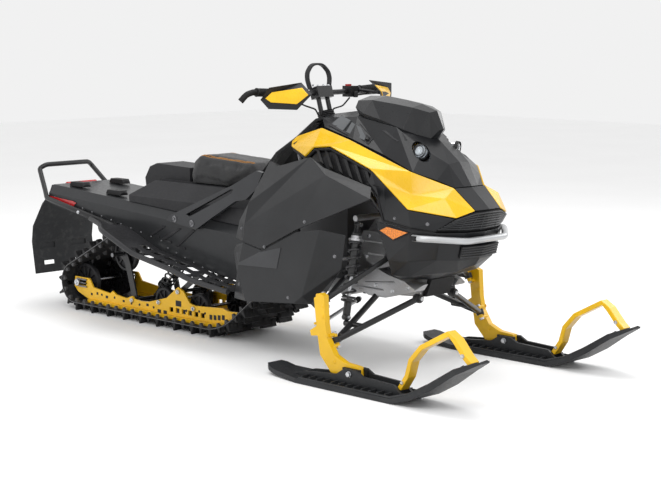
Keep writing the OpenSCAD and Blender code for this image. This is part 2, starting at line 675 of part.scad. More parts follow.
wheel_w = 24;
module wheel(x, y, z, d)
    difference() {
        cross_bar(x, y, z, d, wheel_w);
        for (s = [-1, 1])
            translate([x, y + s * wheel_w / 2 + 4, z])
                rotate([90, 0, 0])
                    difference() {
                        cylinder(d = d - 26, h = 8, $fn = round_fn * 2);
                        translate([0, 0, -1]) cylinder(d = 44, h = 10, $fn = round_fn);
                    }
    }

module rear_axle() color("#26282a") {
    for (s = [-1, 1])
        wheel(rear_at[0], s * (rail_y - 48), rear_at[1] + fit, rear_wheel_d - 3);
    cross_bar(rear_at[0], 0, rear_at[1], rear_axle_d, rail_gauge + 36);
}

module idler_wheels() color("#222325") {
    for (x = idler_x) {
        for (s = [-1, 1])
            wheel(x, s * (rail_y - 38), idler_z, idler_d);
        cross_bar(x, 0, idler_z, idler_axle_d, rail_gauge + 24);
    }
    for (s = [-1, 1])
        wheel(carrier_at[0], s * 111, carrier_at[1], carrier_d - 4);
    cross_bar(carrier_at[0], 0, carrier_at[1], 20, tunnel_w - 2 * tunnel_t - 1);
}

module drive_axle() color("#3a3c3e") {
    cross_bar(axle_front[X], 0, axle_front[Z], axle_d, tunnel_w + 12);
    for (s = [-1, 1])
        cross_bar(axle_front[X], s * 95, axle_front[Z], 2 * (runs[2][2] - belt_t) - 4, 30);
}

front_mount = [-190, 372];
shock_mount = [-530, 376];
mount_d = 18;
arm_pin_d = 16;
module skid_arms() color("#1b1c1e")
    both() {
        // rear arm: a plate from the carrier axle's bracket down to its pin in the rail
        difference() {
            slab([[-915, 322], [-880, 322], [-850, 262], [-800, 96], [-822, 78], [-838, 100],
                [-890, 262], [-922, 286]],
                rail_y - 22, rail_y - 14);
            cross_bar(carrier_at[0], rail_y, carrier_at[1], 20 + 2 * fit, 60);
        }
        cross_bar(rear_arm_pin[0], rail_y / 2 - 7, rear_arm_pin[1], 16, rail_y + 24);
        // front arm
        slab([[-476, 158], [-462, 172], [-176, 366], [-182, 384], [-198, 384], [-490, 180]],
            rail_y - 22, rail_y - 14);
        cross_bar(front_arm_pin[0], rail_y / 2 - 7, front_arm_pin[1], 16, rail_y + 24);
        cross_bar(front_mount[0], frame_half / 2, front_mount[1], mount_d, frame_half);
        cross_bar(shock_mount[0], frame_half / 2, shock_mount[1], mount_d, frame_half);
    }

module shock(a, b, d_body, d_spring, spring_share) {
    v = b - a;
    bar(a, b, d_body * 0.5);
    bar(a + v * 0.08, a + v * 0.55, d_body);
    bar(a + v * (1 - spring_share) * 0.5, a + v * (1 + spring_share) * 0.5, d_spring);
}
// A shock in the middle plane between a pin and a mount, both as x, z
module middle_shock(pin, mount, d_body, d_spring) {
    v = unit(mount - pin);
    a = pin + v * (arm_pin_d / 2 + fit);
    b = mount - v * (mount_d / 2 + fit);
    shock([a[0], 0, a[1]], [b[0], 0, b[1]], d_body, d_spring, 0.6);
}
module skid_shocks() color("#2a2c2e") {
    middle_shock(rear_arm_pin, shock_mount, 40, 66);
    middle_shock(front_arm_pin, front_mount, 36, 60);
}

// ---------- ski suspension ----------
king_low = [816, 32.5 - half_stance, 169];
king_top = [752, 36 - half_stance, 318];
king_axis = unit(king_top - king_low);
king_pin_d = 18;
ring_d = 34;
ring_h = 22;
// Anything along the steering axis of the right ski, its middle at p
module on_king(p)
    translate(p)
        rotate([0, acos(king_axis[Z]), atan2(king_axis[Y], king_axis[X])])
            children();
// An arm: two tubes from the inner eyes to a ring round the steering axis
module arm(eyes, tip, d)
    difference() {
        union() {
            for (e = eyes) {
                eye(e);
                bar(e, tip, d);
            }
            on_king(tip) cylinder(d = ring_d, h = ring_h, center = true, $fn = round_fn);
        }
        on_king(tip) cylinder(d = king_pin_d + 2 * fit, h = 60, center = true, $fn = round_fn);
        for (s = [-1, 1])
            on_king(tip) translate([0, 0, s * (ring_h / 2 + 20)]) cylinder(d = 52, h = 40, center = true,
                $fn = round_fn);
    }
upper_arm_d = 20;
lower_arm_d = 24;
module upper_arms() color("#1a1b1d")
    both()
        arm(upper_eyes, king_top, upper_arm_d);
saddle_d = 22;
module lower_arms() color("#1a1b1d")
    both() {
        arm(lower_eyes, king_low, lower_arm_d);
        bar([860, shock_low[Y], 213], [shock_low[X] - 6, shock_low[Y], shock_low[Z] - 24], saddle_d);
    }

module ski_shocks() color("#222426")
    both() {
        shock(shock_low, shock_top, 34, 58, 0.7);
        translate(shock_low) sphere(d = shock_eye, $fn = round_fn);
        translate(shock_top) sphere(d = shock_eye, $fn = round_fn);
    }

// ---------- steering ----------
pin_d = 26;
grip_d = 34;
bar_rise = 12;
bar_back = 18;
bar_bend = [bar_mid[X], 110, bar_mid[Z]];
bar_end = [bar_mid[X] - bar_back, bar_half, bar_mid[Z] + bar_rise];

module steering_post() color("#1d1e20") {
    for (s = [-1, 1])
        bar(post_low + [0, s * 26, 0], bar_mid + [0, s * 26, 0] - post_axis * (bar_d / 2 + 6), 20);
    translate(post_low) rotate([0, -post_rake, 0]) translate([-20, -38, -6]) cube([40, 76, 24]);
    bar(post_low, post_low - post_axis * 76, pin_d);
    translate(bar_mid) rotate([0, -post_rake, 0])
        difference() {
            translate([-24, -44, -24]) cube([48, 88, 48]);
            rotate([90, 0, 0]) cylinder(d = bar_d + 0.1, h = 200, center = true, $fn = round_fn);
        }
}

// The hooked bar ends, from the end of the bar: x, outward, z
hook = [[0, 0, 0], [-6, 30, -8], [-20, 50, -36]];
hook_d = 24;
// Point of the bar's straight outer run at a distance y from the middle
function bar_at(y) = let (t = (abs(y) - bar_bend[Y]) / (bar_end[Y] - bar_bend[Y]), p = mix(bar_bend,
    bar_end, t))
    [p[X], y, p[Z]];
module handlebar() color("#17181a") {
    cross_bar(bar_mid[X], 0, bar_mid[Z], bar_d, 2 * bar_bend[Y]);
    both() {
        bar(bar_bend, bar_end, bar_d);
        translate(bar_bend) sphere(d = bar_d + 1.6, $fn = round_fn);
        for (i = [0:len(hook) - 2])
            bar(bar_end + hook[i], bar_end + hook[i + 1], hook_d);
        for (p = hook)
            translate(bar_end + p) sphere(d = hook_d + 1.4, $fn = round_fn);
    }
}

module grips() color("#101112")
    both()
        difference() {
            bar(mix(bar_bend, bar_end, 0.48), mix(bar_bend, bar_end, 0.94), grip_d);
            bar(mix(bar_bend, bar_end, 0.4), mix(bar_bend, bar_end, 1.1), bar_d + 2 * fit);
        }

guard_pts = [[340, -386, 1077], [360, -360, 1040], [411, -250, 1034], [448, -200, 1097],
    [384, -200, 1143], [364, -360, 1126]];
module hand_guards() color("#202224")
    both() {
        panel(guard_pts, 6, [[0, 1, 2, 3, 4, 5]], [250, -290, 1085], 6, 0);
        difference() {
            bar(bar_at(-216), bar_at(-230), 36);
            bar(bar_at(-200), bar_at(-240), bar_d + 2 * fit);
        }
        bar(bar_at(-222) + [14, 0, 0], [424, -222, 1090], 14);
    }

module hand_controls() color("#141516")
    both() {
        difference() {
            translate([bar_mid[X] - 26, 150, bar_mid[Z] - 22]) cube([50, 44, 46]);
            bar(bar_at(120), bar_at(220), bar_d + 2 * fit);
        }
        bar([bar_mid[X] + 20, 170, bar_mid[Z] - 12], [bar_mid[X] + 40, 320, bar_mid[Z] - 8], 10);
    }

strap_line = [[286, -54.6, 1108], [280, -66, 1150], [276, -62, 1178], [270, -30, 1212],
              [270, 30, 1212], [276, 62, 1178], [280, 66, 1150], [286, 54.6, 1108]];
module grab_strap() color("#151617")
    swept(rounded_path(strap_line, 10, 3), 20, 10, [1, 0, 0]);

// Cables down the post: the right one and the left one
cable_right = [[304, -162, 1067], [306, -110, 1044], [314, -50, 1026], [331, -40.4, 985],
    [337, -40.4, 966]];
cable_left = [[304, 162, 1067], [305, 120, 1034], [313, 52, 1024], [331, 40.4, 985], [337, 40.4, 966]];
module control_cables() color("#0f1011") {
    swept(rounded_path(cable_right, 12, 3), 7, 8);
    swept(rounded_path(cable_left, 12, 3), 7, 8);
}

// ---------- spindles, tie rods and skis (right-hand ones, mirrored for the left) ----------
ski_y = -half_stance;
steer_ball = [704, ski_y + 32, 206];
plate_half = 13;
rod_pin_d = 10;
rod_eye_d = 24;
rod_eye_h = 16;
module spindle() color("#f2bd1d") {
    difference() {
        slab([[770, 352], [792, 344], [800, 232], [812, 176], [850, 120], [905, 98], [980, 92], [985, 44],
            [930, 40], [830, 52], [772, 112], [758, 185], [722, 180], [716, 200], [752, 222], [738, 330]],
            ski_y - plate_half, ski_y + plate_half);
        cross_bar(ski_pivot_x, ski_y, ski_pivot_z, 14, 60);
    }
    for (p = [king_low, king_top]) {
        on_king(p) cylinder(d = king_pin_d, h = ring_h + 28, center = true, $fn = round_fn);
        for (s = [-1, 1]) {
            q = p + king_axis * s * (ring_h / 2 + 11);
            bar([q[X], ski_y, q[Z]], q, 16);
        }
    }
    bar([726, ski_y, 190], steer_ball - king_axis * (rod_eye_h / 2 + 8), 14);
    on_king(steer_ball - king_axis * (rod_eye_h / 2 + 4)) cylinder(d = rod_pin_d, h = rod_eye_h + 14,
        $fn = round_fn);
}
module spindle_right() spindle();
module spindle_left() mirror([0, 1, 0]) spindle();

tie_in = [682, -165, 283];
module tie_rod() color("#c9cccd") {
    difference() {
        union() {
            bar(steer_ball, tie_in, 14);
            on_king(steer_ball) cylinder(d = rod_eye_d, h = rod_eye_h, center = true, $fn = round_fn);
        }
        on_king(steer_ball) cylinder(d = rod_pin_d + 2 * fit, h = 40, center = true, $fn = round_fn);
        for (s = [-1, 1])
            on_king(steer_ball) translate([0, 0, s * (rod_eye_h / 2 + 10)])
                cylinder(d = rod_eye_d + 4, h = 20, center = true, $fn = round_fn);
    }
    translate(tie_in) sphere(d = 20, $fn = round_fn);
}
module tie_rod_right() tie_rod();
module tie_rod_left() mirror([0, 1, 0]) tie_rod();

// Side view of a ski: x, z
ski_sole = [[500, 24], [560, 8], [700, 0], [1204, 0], [1300, 28], [1400, 82], [1500, 150], [1585, 196]];
ski_deck = [[1585, 204], [1490, 164], [1380, 96], [1290, 48], [1200, 20], [700, 20], [560, 28], [500, 44]];
module ski() color("#1c1d1f") {
    difference() {
        union() {
            intersection() {
                slab(concat(ski_sole, ski_deck), ski_y - ski_w / 2, ski_y + ski_w / 2);
                linear_extrude(400)
                    polygon([[490, ski_y - 30], [520, ski_y - 52], [700, ski_y - ski_w / 2],
                        [1330, ski_y - ski_w / 2],
                        [1500, ski_y - 62], [1590, ski_y - 24], [1590, ski_y + 24], [1500, ski_y + 62],
                        [1330, ski_y + ski_w / 2], [700, ski_y + ski_w / 2], [520, ski_y + 52],
                        [490, ski_y + 30]]);
            }
            for (s = [-1, 1])
                slab([[640, 19], [1230, 19], [1180, 60], [1020, 66], [985, 84], [925, 84], [880, 56],
                    [700, 40]],
                    ski_y + s * 30 - 6, ski_y + s * 30 + 6);
        }
    }
    cross_bar(ski_pivot_x, ski_y, ski_pivot_z, 13.6, 76);
}
module ski_right() ski();
module ski_left() mirror([0, 1, 0]) ski();

// The hand loop's middle line in side view: x, z
loop_line = [[1196, 46], [1232, 98], [1250, 160], [1300, 215], [1430, 284], [1462, 262], [1512, 206],
    [1536, 186]];
loop_t = 20;
function loop_normal(i) = let (n = len(loop_line), a = loop_line[max(i - 1, 0)],
    b = loop_line[min(i + 1, n - 1)], v = (b - a) / norm(b - a)) [-v[1], v[0]];
module ski_loop() color("#f2bd1d") {
    n = len(loop_line);
    upper = [for (i = [n - 1:-1:0]) loop_line[i] + loop_normal(i) * loop_t / 2];
    under = [for (i = [0:n - 1]) loop_line[i] - loop_normal(i) * loop_t / 2];
    difference() {
        slab(concat(upper, under), ski_y - loop_w / 2, ski_y + loop_w / 2);
        translate([0, 0, fit]) slab(concat(ski_sole, ski_deck), ski_y - ski_w, ski_y + ski_w);
    }
}
module ski_loop_right() ski_loop();
module ski_loop_left() mirror([0, 1, 0]) ski_loop();

tunnel();
running_board_right();
running_board_left();
rear_bumper();
snow_flap();
tail_light();
tunnel_reflectors();
cargo_anchors();
seat();
fuel_tank();
side_struts();
console();
hood();
visor();
headlights();
hood_bands();
side_vents();
side_panel_right();
side_panel_left();
lower_panel_right();
lower_panel_left();
nose_plate();
cowl_sides();
nose();
grilles();
nose_reflectors();
front_bumper();
bulkhead();
belly_plate();
engine();
drive_axle();
track();
rail_right();
rail_left();
rear_axle();
idler_wheels();
skid_arms();
skid_shocks();
upper_arms();
lower_arms();
ski_shocks();
steering_post();
handlebar();
grips();
hand_guards();
hand_controls();
grab_strap();
control_cables();
spindle_right();
spindle_left();
tie_rod_right();
tie_rod_left();
ski_right();
ski_left();
ski_loop_right();
ski_loop_left();
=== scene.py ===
"""Finishes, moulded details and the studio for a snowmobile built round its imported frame."""
import json
import math

import bmesh
import bpy
from mathutils import Matrix, Vector
from mathutils.bvhtree import BVHTree


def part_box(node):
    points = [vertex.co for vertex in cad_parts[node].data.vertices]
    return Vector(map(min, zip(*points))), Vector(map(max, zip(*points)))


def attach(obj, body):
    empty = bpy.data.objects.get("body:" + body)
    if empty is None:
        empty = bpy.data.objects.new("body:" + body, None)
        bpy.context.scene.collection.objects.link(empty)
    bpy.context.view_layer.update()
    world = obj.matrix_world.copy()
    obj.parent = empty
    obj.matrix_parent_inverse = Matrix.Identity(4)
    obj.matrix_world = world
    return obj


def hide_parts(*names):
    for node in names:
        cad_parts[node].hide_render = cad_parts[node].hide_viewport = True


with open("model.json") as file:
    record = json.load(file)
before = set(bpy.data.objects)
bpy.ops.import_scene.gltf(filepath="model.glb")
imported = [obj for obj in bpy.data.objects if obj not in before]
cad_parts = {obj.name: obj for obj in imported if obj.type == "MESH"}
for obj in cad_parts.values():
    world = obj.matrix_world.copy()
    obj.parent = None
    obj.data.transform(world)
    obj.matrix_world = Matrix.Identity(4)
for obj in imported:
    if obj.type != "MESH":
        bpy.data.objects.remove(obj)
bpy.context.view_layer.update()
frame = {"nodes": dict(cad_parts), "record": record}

bl_info = {
    "name": "Snowmobile finishes",
    "version": (1, 0, 0),
    "blender": (4, 5, 0),
    "location": "View3D > Sidebar > Snowmobile",
    "description": "Builds the finishes and details of a snowmobile on its frame",
    "category": "Object",
}

SLOTS = {part["node"]: part["material_slot"] for part in frame["record"]["subparts"]}
BODIES = {node: body for body, nodes in frame["record"]["behaviour"]["bodies"].items() for node in nodes}
MM = 0.001
SIDES = (-1, 1)


# ---------- small helpers ----------
def mm(*values):
    """A point given in millimetres, in metres."""
    return Vector(values) * MM


def flipped(points):
    """The same points on the other side of the machine."""
    return [Vector((p[0], -p[1], p[2])) for p in points]


def mirrored_faces(faces):
    return [tuple(reversed(face)) for face in faces]


def new_mesh(name, verts, faces, material=None, smooth=True, crease=35.0):
    """A mesh object at the origin, its sharp edges marked by angle."""
    mesh = bpy.data.meshes.new(name)
    mesh.from_pydata([tuple(v) for v in verts], [], [tuple(f) for f in faces])
    mesh.validate()
    mesh.update()
    if smooth:
        mesh.polygons.foreach_set("use_smooth", [True] * len(mesh.polygons))
        mesh.set_sharp_from_angle(angle=math.radians(crease))
    obj = bpy.data.objects.new(name, mesh)
    bpy.context.scene.collection.objects.link(obj)
    if material is not None:
        mesh.materials.append(material)
    return obj


def outward(obj):
    """Merges doubles and turns every face outwards."""
    bm = bmesh.new()
    bm.from_mesh(obj.data)
    bmesh.ops.remove_doubles(bm, verts=bm.verts, dist=1e-6)
    bmesh.ops.recalc_face_normals(bm, faces=bm.faces)
    bm.to_mesh(obj.data)
    bm.free()
    return obj


def place(obj, body, slot_name, *stands_for):
    """Puts a finished piece on its body and in place of nodes; slot_name is not used."""
    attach(obj, body)
    if stands_for:
        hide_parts(*stands_for)
    return obj


def bevelled(obj, width, segments=2, angle=28.0):
    """Rounds the sharp edges and keeps the facets flat."""
    bevel = obj.modifiers.new("rounded edges", "BEVEL")
    bevel.width = width
    bevel.segments = segments
    bevel.limit_method = "ANGLE"
    bevel.angle_limit = math.radians(angle)
    bevel.harden_normals = True
    bevel.use_clamp_overlap = True
    return obj


def copy_of(node, name, width=0.0015, material=None, segments=2, angle=11.0, join=0.6):
    """A merged copy of a frame node with rounded edges, ready to stand for it."""
    source = frame["nodes"][node].data
    bm = bmesh.new()
    bm.from_mesh(source)
    bmesh.ops.remove_doubles(bm, verts=bm.verts, dist=1e-5)
    bmesh.ops.dissolve_limit(bm, angle_limit=math.radians(join), verts=bm.verts, edges=bm.edges)
    mesh = bpy.data.meshes.new(name)
    bm.to_mesh(mesh)
    bm.free()
    mesh.polygons.foreach_set("use_smooth", [True] * len(mesh.polygons))
    mesh.set_sharp_from_angle(angle=math.radians(angle))
    obj = bpy.data.objects.new(name, mesh)
    bpy.context.scene.collection.objects.link(obj)
    mesh.materials.append(material or finish(SLOTS[node]))
    if width > 0:
        bevelled(obj, width, segments, angle)
    return place(obj, BODIES[node], SLOTS[node], node)


def prism(outline, low, high, axis=1):
    """Verts and faces of an outline (two coordinates) carried along the third axis."""
    def point(pair, depth):
        values = list(pair)
        values.insert(axis, depth)
        return Vector(values)
    count = len(outline)
    verts = [point(p, low) for p in outline] + [point(p, high) for p in outline]
    faces = [tuple(range(count)), tuple(range(2 * count - 1, count - 1, -1))]
    faces += [(i, i + count, (i + 1) % count + count, (i + 1) % count) for i in range(count)]
    return verts, faces


def rings(path, radii, sides=12, up=Vector((0, 0, 1)), closed=False):
    """Verts and faces of a tube along a path. radii is one value or one for each point."""
    count = len(path)
    path = [Vector(p) for p in path]
    verts, faces = [], []
    for i, p in enumerate(path):
        before = path[i - 1] if (i > 0 or closed) else path[i]
        after = path[(i + 1) % count] if (i < count - 1 or closed) else path[i]
        along = (after - before).normalized()
        side = along.cross(up)
        if side.length < 1e-4:
            side = along.cross(Vector((1, 0, 0)))
        side.normalize()
        lift = side.cross(along)
        r = radii[i] if isinstance(radii, (list, tuple)) else radii
        for k in range(sides):
            a = math.tau * k / sides
            verts.append(p + (side * math.cos(a) + lift * math.sin(a)) * r)
    last = count if closed else count - 1
    for i in range(last):
        j = (i + 1) % count
        for k in range(sides):
            m = (k + 1) % sides
            faces.append((i * sides + k, i * sides + m, j * sides + m, j * sides + k))
    if not closed:
        faces.append(tuple(range(sides - 1, -1, -1)))
        faces.append(tuple((count - 1) * sides + k for k in range(sides)))
    return verts, faces


def turned(profile, sides=32):
    """Verts and faces of a closed ring of (radius, height) pairs turned about Z."""
    verts, faces = [], []
    count = len(profile)
    for k in range(sides):
        a = math.tau * k / sides
        for r, h in profile:
            verts.append(Vector((r * math.cos(a), r * math.sin(a), h)))
    for k in range(sides):
        m = (k + 1) % sides
        for i in range(count):
            j = (i + 1) % count
            faces.append((k * count + i, m * count + i, m * count + j, k * count + j))
    return verts, faces


def joined(name, shapes, material, crease=35.0):
    """One mesh from several (verts, faces) shells."""
    verts, faces = [], []
    for shell_verts, shell_faces in shapes:
        start = len(verts)
        verts += shell_verts
        faces += [tuple(i + start for i in face) for face in shell_faces]
    obj = outward(new_mesh(name, verts, faces, material, smooth=False))
    mesh = obj.data
    mesh.polygons.foreach_set("use_smooth", [True] * len(mesh.polygons))
    mesh.set_sharp_from_angle(angle=math.radians(crease))
    return obj


def moved(shape, matrix):
    """A shell's verts moved by a matrix."""
    verts, faces = shape
    return [matrix @ v for v in verts], faces


def facing(direction, spin=0.0):
    """A rotation that turns +Z to a direction."""
    turn = Vector(direction).to_track_quat("Z", "Y").to_matrix().to_4x4()
    return turn @ Matrix.Rotation(spin, 4, "Z")


def arc_path(points, radius, steps=5):
    """A path whose corners are rounded."""
    path = [Vector(points[0])]
    for i in range(1, len(points) - 1):
        p = Vector(points[i])
        a = (Vector(points[i - 1]) - p)
        b = (Vector(points[i + 1]) - p)
        reach = min(radius, a.length * 0.48, b.length * 0.48)
        a, b = a.normalized() * reach, b.normalized() * reach
        for k in range(steps + 1):
            t = k / steps
            path.append(p + a * (1 - t) ** 2 + b * t ** 2)
    path.append(Vector(points[-1]))
    return path


# ---------- finishes ----------
class Finish:
    """Builds one node-based material."""

    def __init__(self, name):
        self.material = bpy.data.materials.new(name)
        self.material.use_nodes = True
        self.tree = self.material.node_tree
        self.tree.nodes.clear()
        self.out = self.tree.nodes.new("ShaderNodeOutputMaterial")
        self.shader = self.tree.nodes.new("ShaderNodeBsdfPrincipled")
        self.tree.links.new(self.shader.outputs[0], self.out.inputs["Surface"])
        self.coords = self.tree.nodes.new("ShaderNodeTexCoord").outputs["Object"]
        self.height = None
        self.shader.inputs["Specular IOR Level"].default_value = 0.24

    def link(self, a, b):
        self.tree.links.new(a, b)

    def put(self, **values):
        for key, value in values.items():
            self.shader.inputs[key.replace("_", " ")].default_value = value
        return self

    def scaled(self, scale):
        node = self.tree.nodes.new("ShaderNodeMapping")
        node.inputs["Scale"].default_value = scale
        self.link(self.coords, node.inputs["Vector"])
        return node.outputs[0]

    def noise(self, scale, detail=4.0, rough=0.55, coords=None):
        node = self.tree.nodes.new("ShaderNodeTexNoise")
        node.inputs["Scale"].default_value = scale
        node.inputs["Detail"].default_value = detail
        node.inputs["Roughness"].default_value = rough
        self.link(coords or self.coords, node.inputs["Vector"])
        return node.outputs["Fac"]

    def cells(self, scale, feature="F1", coords=None):
        node = self.tree.nodes.new("ShaderNodeTexVoronoi")
        node.feature = feature
        node.inputs["Scale"].default_value = scale
        self.link(coords or self.coords, node.inputs["Vector"])
        return node.outputs["Distance"]

    def waves(self, scale, axis="X", coords=None, distortion=0.0):
        node = self.tree.nodes.new("ShaderNodeTexWave")
        node.bands_direction = axis
        node.inputs["Scale"].default_value = scale
        node.inputs["Distortion"].default_value = distortion
        self.link(coords or self.coords, node.inputs["Vector"])
        return node.outputs["Fac"]

    def ramp(self, value, *stops):
        node = self.tree.nodes.new("ShaderNodeValToRGB")
        ramp = node.color_ramp
        while len(ramp.elements) < len(stops):
            ramp.elements.new(0.5)
        for element, (place_at, colour) in zip(ramp.elements, stops):
            element.position = place_at
            element.color = (*colour[:3], 1.0)
        self.link(value, node.inputs["Fac"])
        return node.outputs["Color"]

    def range(self, value, low, high, start=0.35, end=0.65):
        node = self.tree.nodes.new("ShaderNodeMapRange")
        for key, number in zip(("From Min", "From Max", "To Min", "To Max"), (start, end, low, high)):
            node.inputs[key].default_value = number
        self.link(value, node.inputs["Value"])
        return node.outputs[0]

    def mix(self, factor, first, second):
        node = self.tree.nodes.new("ShaderNodeMix")
        node.data_type = "RGBA"
        self.link(factor, node.inputs["Factor"])
        for socket, value in zip((node.inputs[6], node.inputs[7]), (first, second)):
            if hasattr(value, "is_output"):
                self.link(value, socket)
            else:
                socket.default_value = (*value[:3], 1.0)
        return node.outputs[2]

    def colour(self, value):
        self.link(value, self.shader.inputs["Base Color"])
        return self

    def rough(self, value):
        self.link(value, self.shader.inputs["Roughness"])
        return self

    def bump(self, value, distance, strength=1.0):
        node = self.tree.nodes.new("ShaderNodeBump")
        node.inputs["Distance"].default_value = distance
        node.inputs["Strength"].default_value = strength
        self.link(value, node.inputs["Height"])
        if self.height is not None:
            self.link(self.height, node.inputs["Normal"])
        self.height = node.outputs[0]
        self.link(self.height, self.shader.inputs["Normal"])
        return self


def lighter(colour, factor):
    return tuple(min(1.0, c * factor) for c in colour[:3])


def moulded(name, colour, rough=(0.38, 0.5), grain=0.00018, grain_scale=1300.0, dust=0.0, coat=0.0):
    """Moulded plastic or rubber: fine grain, soft mottling, a few dull scuffs."""
    f = Finish(name)
    broad = f.noise(7.0, 3.0)
    tone = f.mix(f.range(broad, 0.0, 1.0, 0.3, 0.7), lighter(colour, 0.88), lighter(colour, 1.14))
    if dust:
        film = f.range(f.noise(34.0, 6.0, 0.65), 0.0, dust, 0.5, 0.78)
        tone = f.mix(film, tone, (0.32, 0.31, 0.3))
    f.colour(tone)
    scuffs = f.noise(60.0, 8.0, 0.7, f.scaled((1.0, 3.0, 1.0)))
    f.rough(f.range(scuffs, rough[0], rough[1]))
    f.bump(f.noise(grain_scale, 2.0), grain, 0.55)
    f.put(Coat_Weight=coat, Coat_Roughness=0.12)
    return f


def coated(name, colour, rough=(0.3, 0.4), metallic=0.0, coat=0.35, peel=0.0001):
    """Paint or powder coat: orange peel and slight roughness drift."""
    f = Finish(name)
    broad = f.noise(9.0, 3.0)
    f.colour(f.mix(f.range(broad, 0.0, 1.0, 0.3, 0.7), lighter(colour, 0.92), lighter(colour, 1.07)))
    f.rough(f.range(f.noise(75.0, 6.0, 0.65), rough[0], rough[1]))
    f.bump(f.noise(420.0, 2.0), peel, 0.5)
    f.put(Metallic=metallic, Coat_Weight=coat, Coat_Roughness=0.16)
    return f


def metal(name, colour, rough=(0.22, 0.36), stretch=(1.0, 1.0, 14.0), grain=0.00006):
    """Bare metal with a fine drawn or cast grain."""
    f = Finish(name)
    lines = f.noise(140.0, 5.0, 0.6, f.scaled(stretch))
    f.colour(f.mix(f.range(lines, 0.0, 1.0, 0.3, 0.7), lighter(colour, 0.86), lighter(colour, 1.08)))
    f.rough(f.range(lines, rough[0], rough[1]))
    f.bump(lines, grain, 0.6)
    f.put(Metallic=1.0)
    return f


def vinyl():
    """Grained seat vinyl."""
    f = Finish("grained_vinyl")
    cells = f.cells(520.0, "DISTANCE_TO_EDGE")
    tone = f.mix(f.range(f.noise(10.0, 3.0), 0.0, 1.0, 0.3, 0.7), (0.016, 0.016, 0.017),
                 (0.03, 0.03, 0.031))
    f.colour(tone)
    f.rough(f.range(f.noise(90.0, 5.0), 0.44, 0.6))
    f.bump(f.range(cells, 0.0, 1.0, 0.0, 0.18), 0.00022, 0.6)
    f.bump(f.noise(26.0, 4.0), 0.0009, 0.35)
    f.put(Sheen_Weight=0.12)
    return f


def prismatic(name, colour, glow=0.0):
    """A reflector lens with small prisms behind a clear face. Each prism is painted lighter in its middle and darker
    at its rim as light and shade, and the emission is a painted glow.
    """
    f = Finish(name)
    prisms = f.cells(210.0, "F1")
    # Painted light and shade: each prism lighter in its middle, darker at its rim.
    f.colour(f.mix(f.range(prisms, 0.0, 1.0, 0.1, 0.7), lighter(colour, 1.15), lighter(colour, 0.55)))
    f.bump(prisms, 0.0006, 0.8)
    f.rough(f.range(f.noise(60.0), 0.12, 0.24))
    # The emission is a painted glow on the reflector lenses.
    f.put(Coat_Weight=0.8, Coat_Roughness=0.04, Emission_Strength=glow)
    f.shader.inputs["Emission Color"].default_value = (*colour, 1.0)
    return f


def clear_lens():
    f = Finish("clear_lens")
    f.rough(f.range(f.noise(40.0), 0.02, 0.06))
    f.bump(f.noise(200.0, 2.0), 0.00005, 0.3)
    f.put(Base_Color=(0.92, 0.95, 0.97, 1.0), Transmission_Weight=0.92, IOR=1.45)
    return f


_finishes = {}


def finish(slot_name):
    """The material of a record slot, made once."""
    if slot_name not in _finishes:
        _finishes[slot_name] = FINISH_MAKERS[slot_name]().material
    return _finishes[slot_name]


